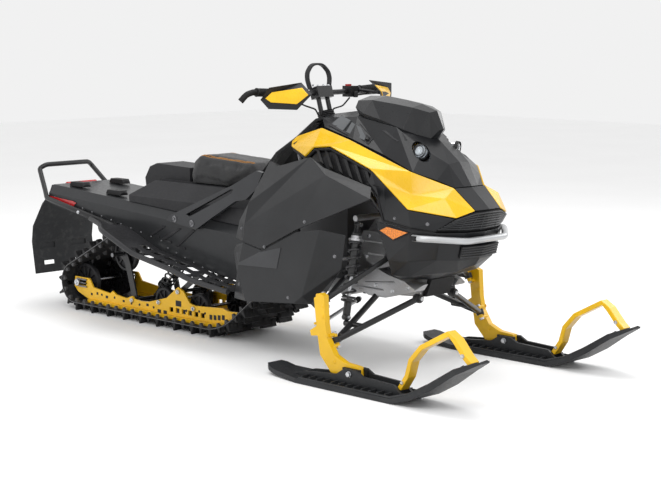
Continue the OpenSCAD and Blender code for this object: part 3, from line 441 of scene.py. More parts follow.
YELLOW = (0.82, 0.48, 0.008)
FINISH_MAKERS = {
    "tunnel_grey": lambda: coated("satin_grey_paint", (0.02, 0.021, 0.023), (0.34, 0.46), 0.25, 0.2),
    "board_black": lambda: coated("board_black_paint", (0.022, 0.022, 0.024), (0.38, 0.5), 0.0, 0.1),
    "tube_black": lambda: coated("powder_black", (0.02, 0.02, 0.021), (0.34, 0.46), 0.0, 0.2),
    "rubber_flap": lambda: moulded("flap_rubber", (0.03, 0.031, 0.033), (0.5, 0.66), 0.0003, 800.0, 0.12),
    # The last number of a prismatic lens is the strength of its painted glow.
    "red_lens": lambda: prismatic("red_prisms", (0.55, 0.012, 0.014), 0.05),
    "amber_lens": lambda: prismatic("amber_prisms", (0.85, 0.24, 0.012), 0.12),
    "plastic_black": lambda: moulded("black_grained_plastic", (0.012, 0.012, 0.013), (0.42, 0.56)),
    "plastic_dark": lambda: moulded("hood_plastic", (0.011, 0.0115, 0.013), (0.3, 0.42), 0.0001, 1500.0,
                                    0.0, 0.15),
    "plastic_grey": lambda: moulded("tank_plastic", (0.018, 0.018, 0.02), (0.42, 0.56)),
    "panel_grey": lambda: moulded("panel_plastic", (0.017, 0.0175, 0.019), (0.34, 0.46), 0.0001, 1500.0,
                                  0.0, 0.1),
    "strut_grey": lambda: coated("strut_paint", (0.034, 0.035, 0.038), (0.34, 0.46), 0.25, 0.2),
    "seat_cover": vinyl,
    "visor_smoke": lambda: moulded("visor_plastic", (0.017, 0.0175, 0.019), (0.26, 0.36), 0.00008, 1500.0,
                                   0.0, 0.25),
    "lamp_glass": clear_lens,
    "gloss_yellow": lambda: moulded("gloss_yellow_plastic", YELLOW, (0.24, 0.34), 0.00006, 900.0, 0.0, 0.5),
    "grille_black": lambda: moulded("grille_plastic", (0.014, 0.014, 0.015), (0.4, 0.52)),
    "bumper_silver": lambda: coated("silver_paint", (0.5, 0.51, 0.52), (0.3, 0.38), 0.5, 0.3, 0.00002),
    "cast_alloy": lambda: metal("cast_alloy", (0.5, 0.5, 0.51), (0.36, 0.5), (1.0, 1.0, 1.0), 0.0003),
    "engine_iron": lambda: metal("engine_casting", (0.16, 0.16, 0.165), (0.5, 0.65), (1.0, 1.0, 1.0),
                                 0.0005),
    "steel_dark": lambda: metal("dark_steel", (0.2, 0.2, 0.21)),
    "steel_bright": lambda: metal("bright_steel", (0.62, 0.63, 0.65)),
    "track_rubber": lambda: moulded("track_rubber", (0.016, 0.016, 0.017), (0.55, 0.7), 0.0004, 700.0, 0.1),
    "rail_yellow": lambda: coated("rail_yellow_coat", (0.8, 0.46, 0.012), (0.3, 0.42), 0.1, 0.25),
    "wheel_black": lambda: moulded("wheel_rubber", (0.018, 0.018, 0.02), (0.42, 0.56), 0.0002, 900.0, 0.06),
    "arm_black": lambda: coated("arm_powder_black", (0.016, 0.016, 0.017), (0.3, 0.42), 0.0, 0.3),
    "shock_black": lambda: coated("shock_black_paint", (0.02, 0.02, 0.021), (0.24, 0.36), 0.0, 0.4),
    "bar_black": lambda: coated("bar_black_coat", (0.015, 0.015, 0.016), (0.32, 0.44), 0.0, 0.2),
    "grip_rubber": lambda: moulded("grip_rubber", (0.012, 0.012, 0.012), (0.55, 0.68), 0.0003, 900.0),
    "guard_plastic": lambda: moulded("guard_plastic", (0.02, 0.02, 0.022), (0.36, 0.48)),
    "strap_black": lambda: moulded("strap_rubber", (0.018, 0.018, 0.019), (0.48, 0.6), 0.0003, 900.0),
    "cable_rubber": lambda: moulded("cable_sheath", (0.014, 0.014, 0.014), (0.4, 0.5)),
    "forged_yellow": lambda: coated("spindle_yellow_coat", YELLOW, (0.28, 0.38), 0.0, 0.4),
    "ski_plastic": lambda: moulded("ski_plastic", (0.024, 0.025, 0.027), (0.36, 0.52), 0.00015, 900.0,
                                   0.05),
    "loop_yellow": lambda: moulded("loop_yellow_plastic", YELLOW, (0.28, 0.38), 0.00008, 900.0, 0.0, 0.35),
}


def chrome():
    """The headlight bowl's bright plating."""
    f = metal("bowl_chrome", (0.75, 0.76, 0.78), (0.06, 0.14), (1.0, 1.0, 1.0), 0.00002)
    return f


def projector():
    """A clear bulb cover with a faint glow."""
    f = Finish("projector_glass")
    f.rough(f.range(f.noise(60.0), 0.04, 0.1))
    f.bump(f.noise(260.0, 2.0), 0.00004, 0.3)
    f.put(Base_Color=(0.8, 0.84, 0.88, 1.0), Coat_Weight=1.0, Emission_Strength=0.35)
    f.shader.inputs["Emission Color"].default_value = (0.9, 0.95, 1.0, 1.0)
    return f


def thread():
    """Twisted stitching thread, painted darker in the twist's grooves and lighter on its ridges as shade and light.
    """
    f = Finish("orange_thread")
    # Painted shade and light: the colour follows the twist's relief, dark in the grooves, light on the ridges.
    f.colour(f.mix(f.waves(900.0, "DIAGONAL"), (0.5, 0.2, 0.03), (0.75, 0.34, 0.06)))
    f.rough(f.range(f.noise(300.0), 0.6, 0.8))
    f.bump(f.waves(900.0, "DIAGONAL"), 0.0003, 0.8)
    return f


FINISH_MAKERS.update({
    "tooth_rubber": lambda: moulded("tooth_rubber", (0.06, 0.06, 0.062), (0.5, 0.64), 0.0003, 800.0, 0.1),
    "spring_black": lambda: coated("spring_coat", (0.022, 0.022, 0.024), (0.24, 0.34), 0.0, 0.4),
    "lamp_chrome": chrome,
    "lamp_projector": projector,
    # Light grey for the cords along the belt's edges: a painted highlight.
    "edge_highlight_grey": lambda: moulded("belt_edge_painted_highlight", (0.16, 0.16, 0.165), (0.5, 0.62)),
    "inset_grey": lambda: moulded("inset_plastic", (0.045, 0.046, 0.049), (0.4, 0.5)),
    "slat_grey": lambda: moulded("slat_plastic", (0.04, 0.041, 0.043), (0.34, 0.46)),
    "pad_grey": lambda: moulded("pad_foam_rubber", (0.11, 0.115, 0.12), (0.55, 0.7), 0.0004, 700.0),
    "panel_dark": lambda: moulded("dark_inset_plastic", (0.018, 0.018, 0.02), (0.42, 0.54)),
    "stitch_thread": thread,
    "lever_black": lambda: coated("lever_coat", (0.02, 0.02, 0.021), (0.26, 0.36), 0.4, 0.3),
    "button_red": lambda: moulded("button_plastic", (0.4, 0.02, 0.02), (0.34, 0.44)),
    "boot_rubber": lambda: moulded("boot_rubber", (0.02, 0.02, 0.021), (0.5, 0.62), 0.0003, 800.0),
})


# ---------- repeats ----------
def repeat_tree():
    """Geometry nodes that put an item on every point, turned by the points' own attribute."""
    tree = bpy.data.node_groups.new("repeat_on_points", "GeometryNodeTree")
    sockets = {}
    tree.interface.new_socket("Geometry", in_out="INPUT", socket_type="NodeSocketGeometry")
    for label, kind in (("Item", "Object"), ("Size", "Float"), ("Variation", "Float"), ("Seed", "Int"),
                        ("Finish", "Material")):
        sockets[label] = tree.interface.new_socket(label, in_out="INPUT", socket_type="NodeSocket" + kind)
    tree.interface.new_socket("Geometry", in_out="OUTPUT", socket_type="NodeSocketGeometry")
    add = tree.nodes.new
    link = tree.links.new
    start, end = add("NodeGroupInput"), add("NodeGroupOutput")
    info = add("GeometryNodeObjectInfo")
    turn = add("GeometryNodeInputNamedAttribute")
    turn.data_type = "FLOAT_VECTOR"
    turn.inputs["Name"].default_value = "turn"
    spread = add("FunctionNodeRandomValue")
    low, high = add("ShaderNodeMath"), add("ShaderNodeMath")
    low.operation, high.operation = "SUBTRACT", "ADD"
    on_points = add("GeometryNodeInstanceOnPoints")
    realize = add("GeometryNodeRealizeInstances")
    paint = add("GeometryNodeSetMaterial")
    link(start.outputs["Item"], info.inputs["Object"])
    for node in (low, high):
        link(start.outputs["Size"], node.inputs[0])
        link(start.outputs["Variation"], node.inputs[1])
    link(low.outputs[0], spread.inputs[2])
    link(high.outputs[0], spread.inputs[3])
    link(start.outputs["Seed"], spread.inputs["Seed"])
    link(start.outputs["Geometry"], on_points.inputs["Points"])
    link(info.outputs["Geometry"], on_points.inputs["Instance"])
    link(turn.outputs[0], on_points.inputs["Rotation"])
    link(spread.outputs[1], on_points.inputs["Scale"])
    link(on_points.outputs[0], realize.inputs[0])
    link(realize.outputs[0], paint.inputs["Geometry"])
    link(start.outputs["Finish"], paint.inputs["Material"])
    link(paint.outputs[0], end.inputs[0])
    return tree, {label: socket.identifier for label, socket in sockets.items()}


_repeat = []


def scatter(name, item, places, body, slot_name, *stands_for, variation=0.0, size=1.0):
    """One mesh with the item at every place. A place is a matrix."""
    if not _repeat:
        _repeat.extend(repeat_tree())
    tree, ids = _repeat
    mesh = bpy.data.meshes.new(name + "_points")
    mesh.from_pydata([tuple(place_at.translation) for place_at in places], [], [])
    turns = mesh.attributes.new("turn", "FLOAT_VECTOR", "POINT")
    turns.data.foreach_set("vector", [v for place_at in places for v in place_at.to_euler("XYZ")])
    carrier = bpy.data.objects.new(name + "_points", mesh)
    bpy.context.scene.collection.objects.link(carrier)
    modifier = carrier.modifiers.new("repeat", "NODES")
    modifier.node_group = tree
    values = {"Item": item, "Size": size, "Variation": variation, "Seed": 7, "Finish": finish(slot_name)}
    for label, value in values.items():
        modifier[ids[label]] = value
    evaluated = carrier.evaluated_get(bpy.context.evaluated_depsgraph_get())
    result = bpy.data.meshes.new_from_object(evaluated)
    result.name = name
    carrier.modifiers.remove(modifier)
    obj = bpy.data.objects.new(name, result)
    bpy.context.scene.collection.objects.link(obj)
    for spent in (carrier, item):
        bpy.data.objects.remove(spent, do_unlink=True)
    return place(obj, body, slot_name, *stands_for)


def at(point, direction=(0, 0, 1), spin=0.0):
    """A place in millimetres, its Z along a direction."""
    return Matrix.Translation(mm(*point)) @ facing(direction, spin)


# ---------- shapes shared by the details ----------
def block(low, high, chamfer=0.0):
    """A box between two corners in millimetres, its edges cut by a chamfer."""
    c = chamfer
    (x0, y0, z0), (x1, y1, z1) = low, high
    outline = [(x0 + c, y0), (x1 - c, y0), (x1, y0 + c), (x1, y1 - c), (x1 - c, y1), (x0 + c, y1),
               (x0, y1 - c),
               (x0, y0 + c)] if c else [(x0, y0), (x1, y0), (x1, y1), (x0, y1)]
    return prism([(x * MM, y * MM) for x, y in outline], z0 * MM, z1 * MM, 2)


def lathe(profile, sides=24):
    """A turned solid: (height, radius) pairs in millimetres along +Z."""
    pin = 0.4
    ring = [(pin, profile[0][0])] + [(r, h) for h, r in profile] + [(pin, profile[-1][0])]
    return turned([(r * MM, h * MM) for r, h in ring], sides)


def between(a, b):
    """The matrix that puts a turned solid's +Z on the line from a to b, in millimetres."""
    return Matrix.Translation(mm(*a)) @ facing(Vector(b) - Vector(a))


def coil(a, b, radius, wire, turns_count, sides=8, steps=22):
    """A coil spring from a to b, its ends closed flat."""
    frame_at = between(a, b)
    length = (Vector(b) - Vector(a)).length
    total = int(turns_count * steps)
    path = []
    for i in range(total + 1):
        angle = math.tau * i / steps
        t = i / total
        ease = min(1.0, max(0.0, (t * turns_count - 0.8) / (turns_count - 1.6)))
        height = wire * 0.5 + ease * (length - wire) + wire * 0.25 * math.sin(min(t, 1 - t) * 4)
        path.append(frame_at @ (Vector((math.cos(angle) * radius, math.sin(angle) * radius, height)) * MM))
    return rings(path, wire * 0.5 * MM, sides, (Vector(b) - Vector(a)).normalized())


def hex_bolt(width=12.0, height=6.0):
    """A flanged hexagon head, its seat at the origin."""
    flange = lathe([(-1.0, width * 0.66), (1.2, width * 0.66), (2.0, width * 0.56)], 18)
    outline = [(math.cos(math.tau * k / 6) * width * 0.52 * MM,
                math.sin(math.tau * k / 6) * width * 0.52 * MM)
               for k in range(6)]
    head = prism(outline, 1.0 * MM, height * MM, 2)
    crown = lathe([(height - 0.5, width * 0.42), (height + 0.8, width * 0.36)], 12)
    return joined("bolt", [flange, head, crown], None, 25)


def dome_rivet(width=9.0):
    return joined("rivet", [lathe([(-1.0, width * 0.5), (1.0, width * 0.48), (2.4, width * 0.34),
                                   (3.0, width * 0.12)],
                                  12)], None, 40)


_trees = {}


def skin_hit(node, start, direction):
    """Where a line meets a frame node's surface, in metres, with the normal there."""
    if node not in _trees:
        source = frame["nodes"][node]
        verts = [source.matrix_world @ v.co for v in source.data.vertices]
        _trees[node] = BVHTree.FromPolygons(verts, [tuple(p.vertices) for p in source.data.polygons])
    hit, normal, _, _ = _trees[node].ray_cast(Vector(start), Vector(direction).normalized())
    if hit is None:
        raise RuntimeError("no surface of " + node + " at " + str(tuple(start)))
    return hit, (normal if normal.dot(Vector(direction)) < 0 else -normal)


def plate_on(node, outline, direction, lift=2.0, sink=1.5, inset=3.0):
    """A raised plate that lies on a node's surface. outline is in millimetres, outside the surface."""
    hits = [skin_hit(node, mm(*p), direction) for p in outline]
    centre = sum((h for h, _ in hits), Vector()) / len(hits)
    normal = sum((n for _, n in hits), Vector()).normalized()
    low = [h - normal * sink * MM for h, _ in hits]
    top = [h + normal * lift * MM for h, _ in hits]
    crown = [p + (centre - p).normalized() * inset * MM + normal * 0.6 * MM for p in top]
    count = len(hits)
    verts = low + top + crown
    faces = [tuple(range(count - 1, -1, -1)), tuple(range(2 * count, 3 * count))]
    for layer in (0, count):
        faces += [(layer + i, layer + (i + 1) % count, layer + count + (i + 1) % count, layer + count + i)
                  for i in range(count)]
    return verts, faces


def inlay(node, points, lift=2.0, inset=3.0):
    """A plate on the right-hand skin of a node through points on its surface, in millimetres."""
    inwards = Vector((-0.69, 0.71, -0.13))
    return plate_on(node, [Vector(p) - inwards * 120 for p in points], inwards, lift, 1.5, inset)


def mirror_shape(shape):
    verts, faces = shape
    return flipped(verts), mirrored_faces(faces)


def both_sides(shapes):
    return [s for shape in shapes for s in (shape, mirror_shape(shape))]


# ---------- the track's path ----------
BELT, LUG, TRACK_HALF, LUG_COUNT = 8.0, 33.0, 190.0, 54
RUNS = ((-1226.0, 132.0, 99.0), (-262.0, 363.0, 330.0), (80.0, 335.0, 100.0), (-900.0, 302.0, 94.0))


def run_turn(i):
    (ax, az, ar), (bx, bz, br) = RUNS[i], RUNS[(i + 1) % 4]
    return math.atan2(bz - az, bx - ax) - math.pi / 2 + math.asin((ar - br) / math.hypot(bx - ax, bz - az))


def loop_parts():
    """Arcs and straights of the belt's outer face, with their lengths."""
    parts = []
    for i, (x, z, r) in enumerate(RUNS):
        begin, finish_at = run_turn((i - 1) % 4), run_turn(i)
        sweep = (finish_at - begin) % math.tau
        nx, nz, nr = RUNS[(i + 1) % 4]
        straight = math.sqrt((nx - x) ** 2 + (nz - z) ** 2 - (r - nr) ** 2)
        parts.append((i, begin, sweep, r * sweep, straight))
    return parts


PARTS = loop_parts()
LOOP_LENGTH = sum(p[3] + p[4] for p in PARTS)


def on_loop(s, lift):
    """Point (x, z) of the loop in millimetres and its outward angle."""
    s %= LOOP_LENGTH
    for i, begin, sweep, arc, straight in PARTS:
        x, z, r = RUNS[i]
        if s < arc:
            a = begin + s / r
            return x + (r + lift) * math.cos(a), z + (r + lift) * math.sin(a), a
        s -= arc
        a = begin + sweep
        if s < straight:
            return (x + (r + lift) * math.cos(a) - s * math.sin(a),
                    z + (r + lift) * math.sin(a) + s * math.cos(a), a)
        s -= straight
    return on_loop(0.0, lift)


def loop_place(s, lift=0.0):
    """A place on the loop: X along the belt, Z outwards."""
    x, z, a = on_loop(s, lift)
    axes = Matrix(((-math.sin(a), 0, math.cos(a)), (0, -1, 0), (math.cos(a), 0, math.sin(a)))).to_4x4()
    return Matrix.Translation(mm(x, 0, z)) @ axes


def paddle(low, high, height=LUG, ribs=2):
    """A moulded lug between two stations across the belt, with buttresses on its face."""
    base, tip, cup = 11.0, 4.5, 5.0
    rows = []
    for y, lean in ((low, cup), ((low + high) / 2, -1.0), (high, cup)):
        rows.append([(-base + lean, y, -1.0), (-tip - 1 + lean, y, height * 0.5),
                     (-tip + lean, y, height - 2),
                     (-tip + 2 + lean, y, height), (tip + lean, y, height),
                     (tip + 1.5 + lean, y, height * 0.6),
                     (base + lean, y, -1.0)])
    count = len(rows[0])
    verts = [mm(*p) for row in rows for p in row]
    faces = [tuple(range(count - 1, -1, -1)), tuple(2 * count + k for k in range(count))]
    for r in range(2):
        faces += [(r * count + k, r * count + (k + 1) % count, (r + 1) * count + (k + 1) % count,
                   (r + 1) * count + k)
                  for k in range(count)]
    shapes = [(verts, faces)]
    for k in range(ribs):
        y = low + (high - low) * (k + 0.5) / ribs
        side = prism([(-20 * MM, -1 * MM), (-4 * MM, height * 0.78 * MM), (4 * MM, height * 0.78 * MM),
                      (20 * MM, -1 * MM)], (y - 3) * MM, (y + 3) * MM)
        shapes.append(side)
    return shapes


def wheel_shapes(x, y, z, d, w, hub=22.0, spokes=8):
    """A moulded wheel: rubber tread, rim, ribs and hub."""
    r = d / 2
    matrix = Matrix.Translation(mm(x, y, z)) @ Matrix.Rotation(math.pi / 2, 4, "X")
    tyre = [(r - 13, -w / 2), (r - 3, -w / 2), (r, -w / 2 + 4), (r, w / 2 - 4), (r - 3, w / 2),
            (r - 13, w / 2),
            (r - 15, w / 2 - 3), (r - 15, 3 - w / 2)]
    web = [(hub - 3, -2.5), (r - 13, -2.5), (r - 13, 2.5), (hub - 3, 2.5)]
    boss = [(7, -w / 2 - 4), (hub - 3, -w / 2 - 4), (hub, -w / 2), (hub, w / 2), (hub - 3, w / 2 + 4),
            (7, w / 2 + 4)]
    shapes = [moved(turned([(a * MM, b * MM) for a, b in ring], 40), matrix) for ring in (tyre, web, boss)]
    for k in range(spokes):
        spin = matrix @ Matrix.Rotation(math.tau * k / spokes, 4, "Z")
        shapes.append(moved(block((hub - 3, -3.5, -w / 2 + 2), (r - 12, 3.5, w / 2 - 2), 1.0), spin))
    return shapes


def wheel_cap(x, y, z, outward_side, size=16.0, reach=12.0):
    matrix = Matrix.Translation(mm(x, y, z)) @ facing((0, outward_side, 0))
    ring = lathe([(0, size), (reach - 2, size), (reach, size - 2), (reach, size * 0.6),
                  (reach - 2, size * 0.5)], 20)
    bolt = lathe([(reach - 4, size * 0.42), (reach + 4, size * 0.42), (reach + 5, size * 0.34)], 6)
    return [moved(ring, matrix), moved(bolt, matrix)]


# ---------- operators ----------
class SnowmobileSizes(bpy.types.PropertyGroup):
    """Settings of the scene: the studio floor's colour."""

    backdrop: bpy.props.FloatVectorProperty(
        name="Floor colour", description="Colour of the studio floor", default=(0.96, 0.96, 0.96),
        subtype="COLOR")


class Piece:
    """What every operator here shares."""

    bl_options = {"REGISTER", "UNDO"}

    def execute(self, context):
        self.make(context.scene.snowmobile)
        return {"FINISHED"}


class SNOWMOBILE_OT_carried_nodes(Piece, bpy.types.Operator):
    """Give every frame node the finish of its slot"""

    bl_idname = "snowmobile.carried_nodes"
    bl_label = "Frame finishes"

    def make(self, sizes):
        for node, obj in frame["nodes"].items():
            obj.data.materials.clear()
            obj.data.materials.append(finish(SLOTS[node]))


ROUNDED_NODES = {
    "hood": 0.004, "visor": 0.006, "hood_bands": 0.0025, "side_panel_right": 0.0025,
    "side_panel_left": 0.0025,
    "lower_panel_right": 0.003, "lower_panel_left": 0.003, "nose_plate": 0.002, "cowl_sides": 0.0025,
    "nose": 0.004, "console": 0.004, "fuel_tank": 0.01, "side_struts": 0.002, "tunnel": 0.002,
    "cargo_anchors": 0.003, "tail_light": 0.003, "snow_flap": 0.0015, "belly_plate": 0.002,
    "rail_right": 0.0012, "rail_left": 0.0012, "spindle_right": 0.004, "spindle_left": 0.004,
    "ski_loop_right": 0.005, "ski_loop_left": 0.005, "ski_right": 0.002, "ski_left": 0.002,
    "hand_guards": 0.003, "hand_controls": 0.003, "skid_arms": 0.002, "steering_post": 0.002,
    "bulkhead": 0.003, "grilles": 0.0015,
}


class SNOWMOBILE_OT_track(Piece, bpy.types.Operator):
    """Belt with moulded lugs, drive teeth and clips, and a light grey cord along each belt edge as a painted
    highlight
    """

    bl_idname = "snowmobile.track"
    bl_label = "Track"

    def make(self, sizes):
        steps = LUG_COUNT * 4
        rim = [(-190, -6.5), (-188, -8), (188, -8), (190, -6.5), (190, -1.5), (188, 0), (-188, 0),
               (-190, -1.5)]
        verts, faces = [], []
        count = len(rim)
        for k in range(steps):
            s = LOOP_LENGTH * (k + 0.5) / steps
            for y, lift in rim:
                x, z, _ = on_loop(s, lift)
                verts.append(mm(x, y, z))
            n = (k + 1) % steps
            faces += [(k * count + i, k * count + (i + 1) % count, n * count + (i + 1) % count,
                       n * count + i)
                      for i in range(count)]
        belt = joined("track_belt", [(verts, faces)], finish("track_rubber"), 40)
        place(belt, "chassis", "track_rubber", "track")
        pitch = LOOP_LENGTH / LUG_COUNT
        # A light grey cord along each edge of the belt is a painted highlight.
        highlight_cords = []
        for side in SIDES:
            path = [loop_place(LOOP_LENGTH * k / steps, -4).translation + mm(0, side * 189.6,
                                                                             0) for k in range(steps)]
            highlight_cords.append(rings(path, 1.5 * MM, 6, Vector((0, 1, 0)), closed=True))
        place(joined("belt_edges", highlight_cords, finish("edge_highlight_grey")), "chassis", "track_rubber")
        edge_row = paddle(-190, -112) + paddle(-52, 52) + paddle(112, 190)
        inner_row = paddle(-148, -66) + paddle(66, 148) + paddle(-190, -160, 20, 1) + paddle(160, 190, 20,
                                                                                             1)
        for name, row, first in (("track_lugs_edge", edge_row, 0), ("track_lugs_inner", inner_row, 1)):
            item = joined(name + "_item", row, None, 40)
            places = [loop_place((k + 0.5) * pitch) for k in range(first, LUG_COUNT, 2)]
            scatter(name, item, places, "chassis", "track_rubber")
        ridge = joined("ridge_item", [block((-7, -188, -1), (7, 188, 3.5), 1.5)], None)
        scatter("track_rods", ridge, [loop_place((k + 0.5) * pitch) for k in range(LUG_COUNT)], "chassis",
                "track_rubber")
        tooth_side = [(-14, 1), (-3, -17), (3, -17), (14, 1)]
        teeth = [prism([(x * MM, z * MM) for x, z in tooth_side], (y - 6) * MM,
                       (y + 6) * MM) for y in (-180, -72, 72, 180)]
        item = joined("tooth_item", teeth, None, 20)
        scatter("drive_teeth", item, [loop_place((k + 0.5) * pitch, -BELT) for k in range(LUG_COUNT)],
                "chassis",
                "tooth_rubber")
        clip = joined("clip_item", [block((-9, y - 15, -2.2), (9, y + 15, 1), 2) for y in (-148, 148)],
                      None)
        scatter("track_clips", clip, [loop_place(k * pitch, -BELT) for k in range(0, LUG_COUNT, 2)],
                "chassis",
                "steel_dark")


class SNOWMOBILE_OT_skid(Piece, bpy.types.Operator):
    """Wheels, axles, shocks and rail fittings of the rear suspension"""

    bl_idname = "snowmobile.skid"
    bl_label = "Skid"

    def make(self, sizes):
        black = finish("wheel_black")
        wheels = [s for y in (-100, 100) for s in wheel_shapes(-1226, y, 132.3, 179, 24, 26, 10)]
        place(joined("rear_wheels", wheels, black), "chassis", "wheel_black", "rear_axle")
        small = [s for x in (-615, -368) for y in (-110, 110) for s in wheel_shapes(x, y, 107.3, 132, 24,
                                                                                    20, 8)]
        small += [s for y in (-111, 111) for s in wheel_shapes(-900, y, 302, 168, 24, 24, 8)]
        place(joined("rail_wheels", small, black), "chassis", "wheel_black", "idler_wheels")
        bars = [rings([mm(x, -half, z), mm(x, half, z)], d / 2 * MM, 20)
                for x, z, half, d in ((-1226, 132, 166, 22), (-615, 107.3, 160, 14), (-368, 107.3, 160, 14),
                                      (-900, 302, 200, 20))]
        place(joined("skid_axles", bars, finish("steel_dark")), "chassis", "steel_dark")
        caps = []
        for side in SIDES:
            caps += wheel_cap(-1226, side * 161, 132, side, 17, 12)
            for x in (-615, -368):
                caps += wheel_cap(x, side * 153, 107.3, side, 11, 8)
            for x, z in ((-815, 92), (-476, 172)):
                caps += wheel_cap(x, side * 153, z, side, 11, 8)
            caps += wheel_cap(-900, side * 124, 302, side, 15, 10)
        place(joined("skid_bolts", caps, finish("steel_bright")), "chassis", "steel_bright")
        adjusters = []
        for side in SIDES:
            adjusters.append(block((-1244, side * 156 - 4, 146), (-1166, side * 156 + 4, 152), 1.5))
            adjusters.append(block((-1244, side * 156 - 4, 112), (-1166, side * 156 + 4, 118), 1.5))
            adjusters.append(rings([mm(-1212, side * 157, 132), mm(-1168, side * 157, 132)], 4 * MM, 10))
        place(joined("rail_adjusters", adjusters, finish("steel_dark")), "chassis", "steel_dark")
        # Dark plates and discs on the rail faces stand for its slots and holes: painted shade in the openings.
        slots = []
        for side in SIDES:
            y0, y1 = sorted((side * 151.6, side * 153.2))
            for x, z, w, h in ((-475, 118, 38, 26), (-614, 66, 24, 16), (-571, 66, 24, 16),
                               (-250, 84, 18, 22),
                               (-222, 86, 18, 22), (-194, 89, 18, 22), (-166, 93, 18, 22),
                               (-700, 84, 16, 12),
                               (-1010, 84, 18, 12), (-1085, 92, 12, 12), (-880, 80, 14, 10),
                               (-1130, 84, 12, 12)):
                verts, faces = block((x - w / 2, y0, z - h / 2), (x + w / 2, y1, z + h / 2), 0)
                slots.append((verts, faces))
            for x, z in ((-655, 78), (-760, 78), (-820, 76), (-950, 88), (-1050, 90), (-420, 92),
                         (-330, 100), (-290, 96)):
                slots.append(moved(lathe([(0, 6), (1.6, 5.6)], 12), at((x, side * 151.8, z), (0, side, 0))))
        place(joined("rail_slots", slots, finish("panel_dark")), "chassis", "plastic_black")
        for name, a, b, body, spring in (("rear_skid", (-811, 0, 101), (-534, 0, 367), 20, 33),
                                         ("front_skid", (-469, 0, 177), (-197, 0, 367), 18, 30)):
            strut_shock(name, a, b, body, spring, 9, "chassis")
        place(joined("skid_eyes", [moved(turned([(r * MM, h * MM) for r,
                                                 h in ((9, -14), (17, -14), (18, -12), (18, 12),
              (17, 14), (9, 14))], 24), Matrix.Translation(mm(x, 0, z)) @ Matrix.Rotation(math.pi / 2, 4,
                                                                                          "X"))
              for x, z in ((-815, 92), (-530, 376), (-476, 172), (-190, 372))], finish("shock_black")),
              "chassis",
              "shock_black", "skid_shocks")
        copy_of("drive_axle", "drive_shaft", 0.002)


def strut_shock(name, a, b, body_r, spring_r, turns_count, body, mirrored=False):
    """Body, rod, collars and spring of one shock from its lower to its upper eye."""
    length = (Vector(b) - Vector(a)).length
    m = between(a, b)
    body_solid = lathe([(length * 0.44, body_r * 0.75), (length * 0.45, body_r), (length * 0.86, body_r),
                        (length * 0.87, body_r * 1.12), (length * 0.9, body_r * 1.12),
                        (length * 0.92, body_r * 0.8),
                        (length - 4, body_r * 0.6)], 24)
    cup = lathe([(6, body_r * 0.55), (10, body_r * 0.9), (length * 0.16, body_r * 0.9),
                 (length * 0.17, spring_r + 1), (length * 0.195, spring_r + 1),
                 (length * 0.2, body_r * 0.8)], 24)
    dark = [moved(body_solid, m), moved(cup, m)]
    rod = [moved(lathe([(length * 0.1, 7), (length * 0.5, 7)], 16), m)]
    collar = [moved(lathe([(length * 0.815, body_r + 1), (length * 0.82, spring_r + 1),
                           (length * 0.845, spring_r + 1),
                           (length * 0.85, body_r + 5), (length * 0.875, body_r + 5),
                           (length * 0.88, body_r + 1)], 28),
                    m)]
    low, high = Vector(a).lerp(Vector(b), 0.2), Vector(a).lerp(Vector(b), 0.815)
    spring = [coil(low, high, spring_r - 4.5, 9, turns_count)]
    for label, shapes, slot_name in (("body", dark, "shock_black"), ("rod", rod, "steel_bright"),
                                     ("collar", collar, "cast_alloy"), ("spring", spring, "spring_black")):
        if mirrored:
            shapes = both_sides(shapes)
        place(joined(name + "_" + label, shapes, finish(slot_name)), body, slot_name)


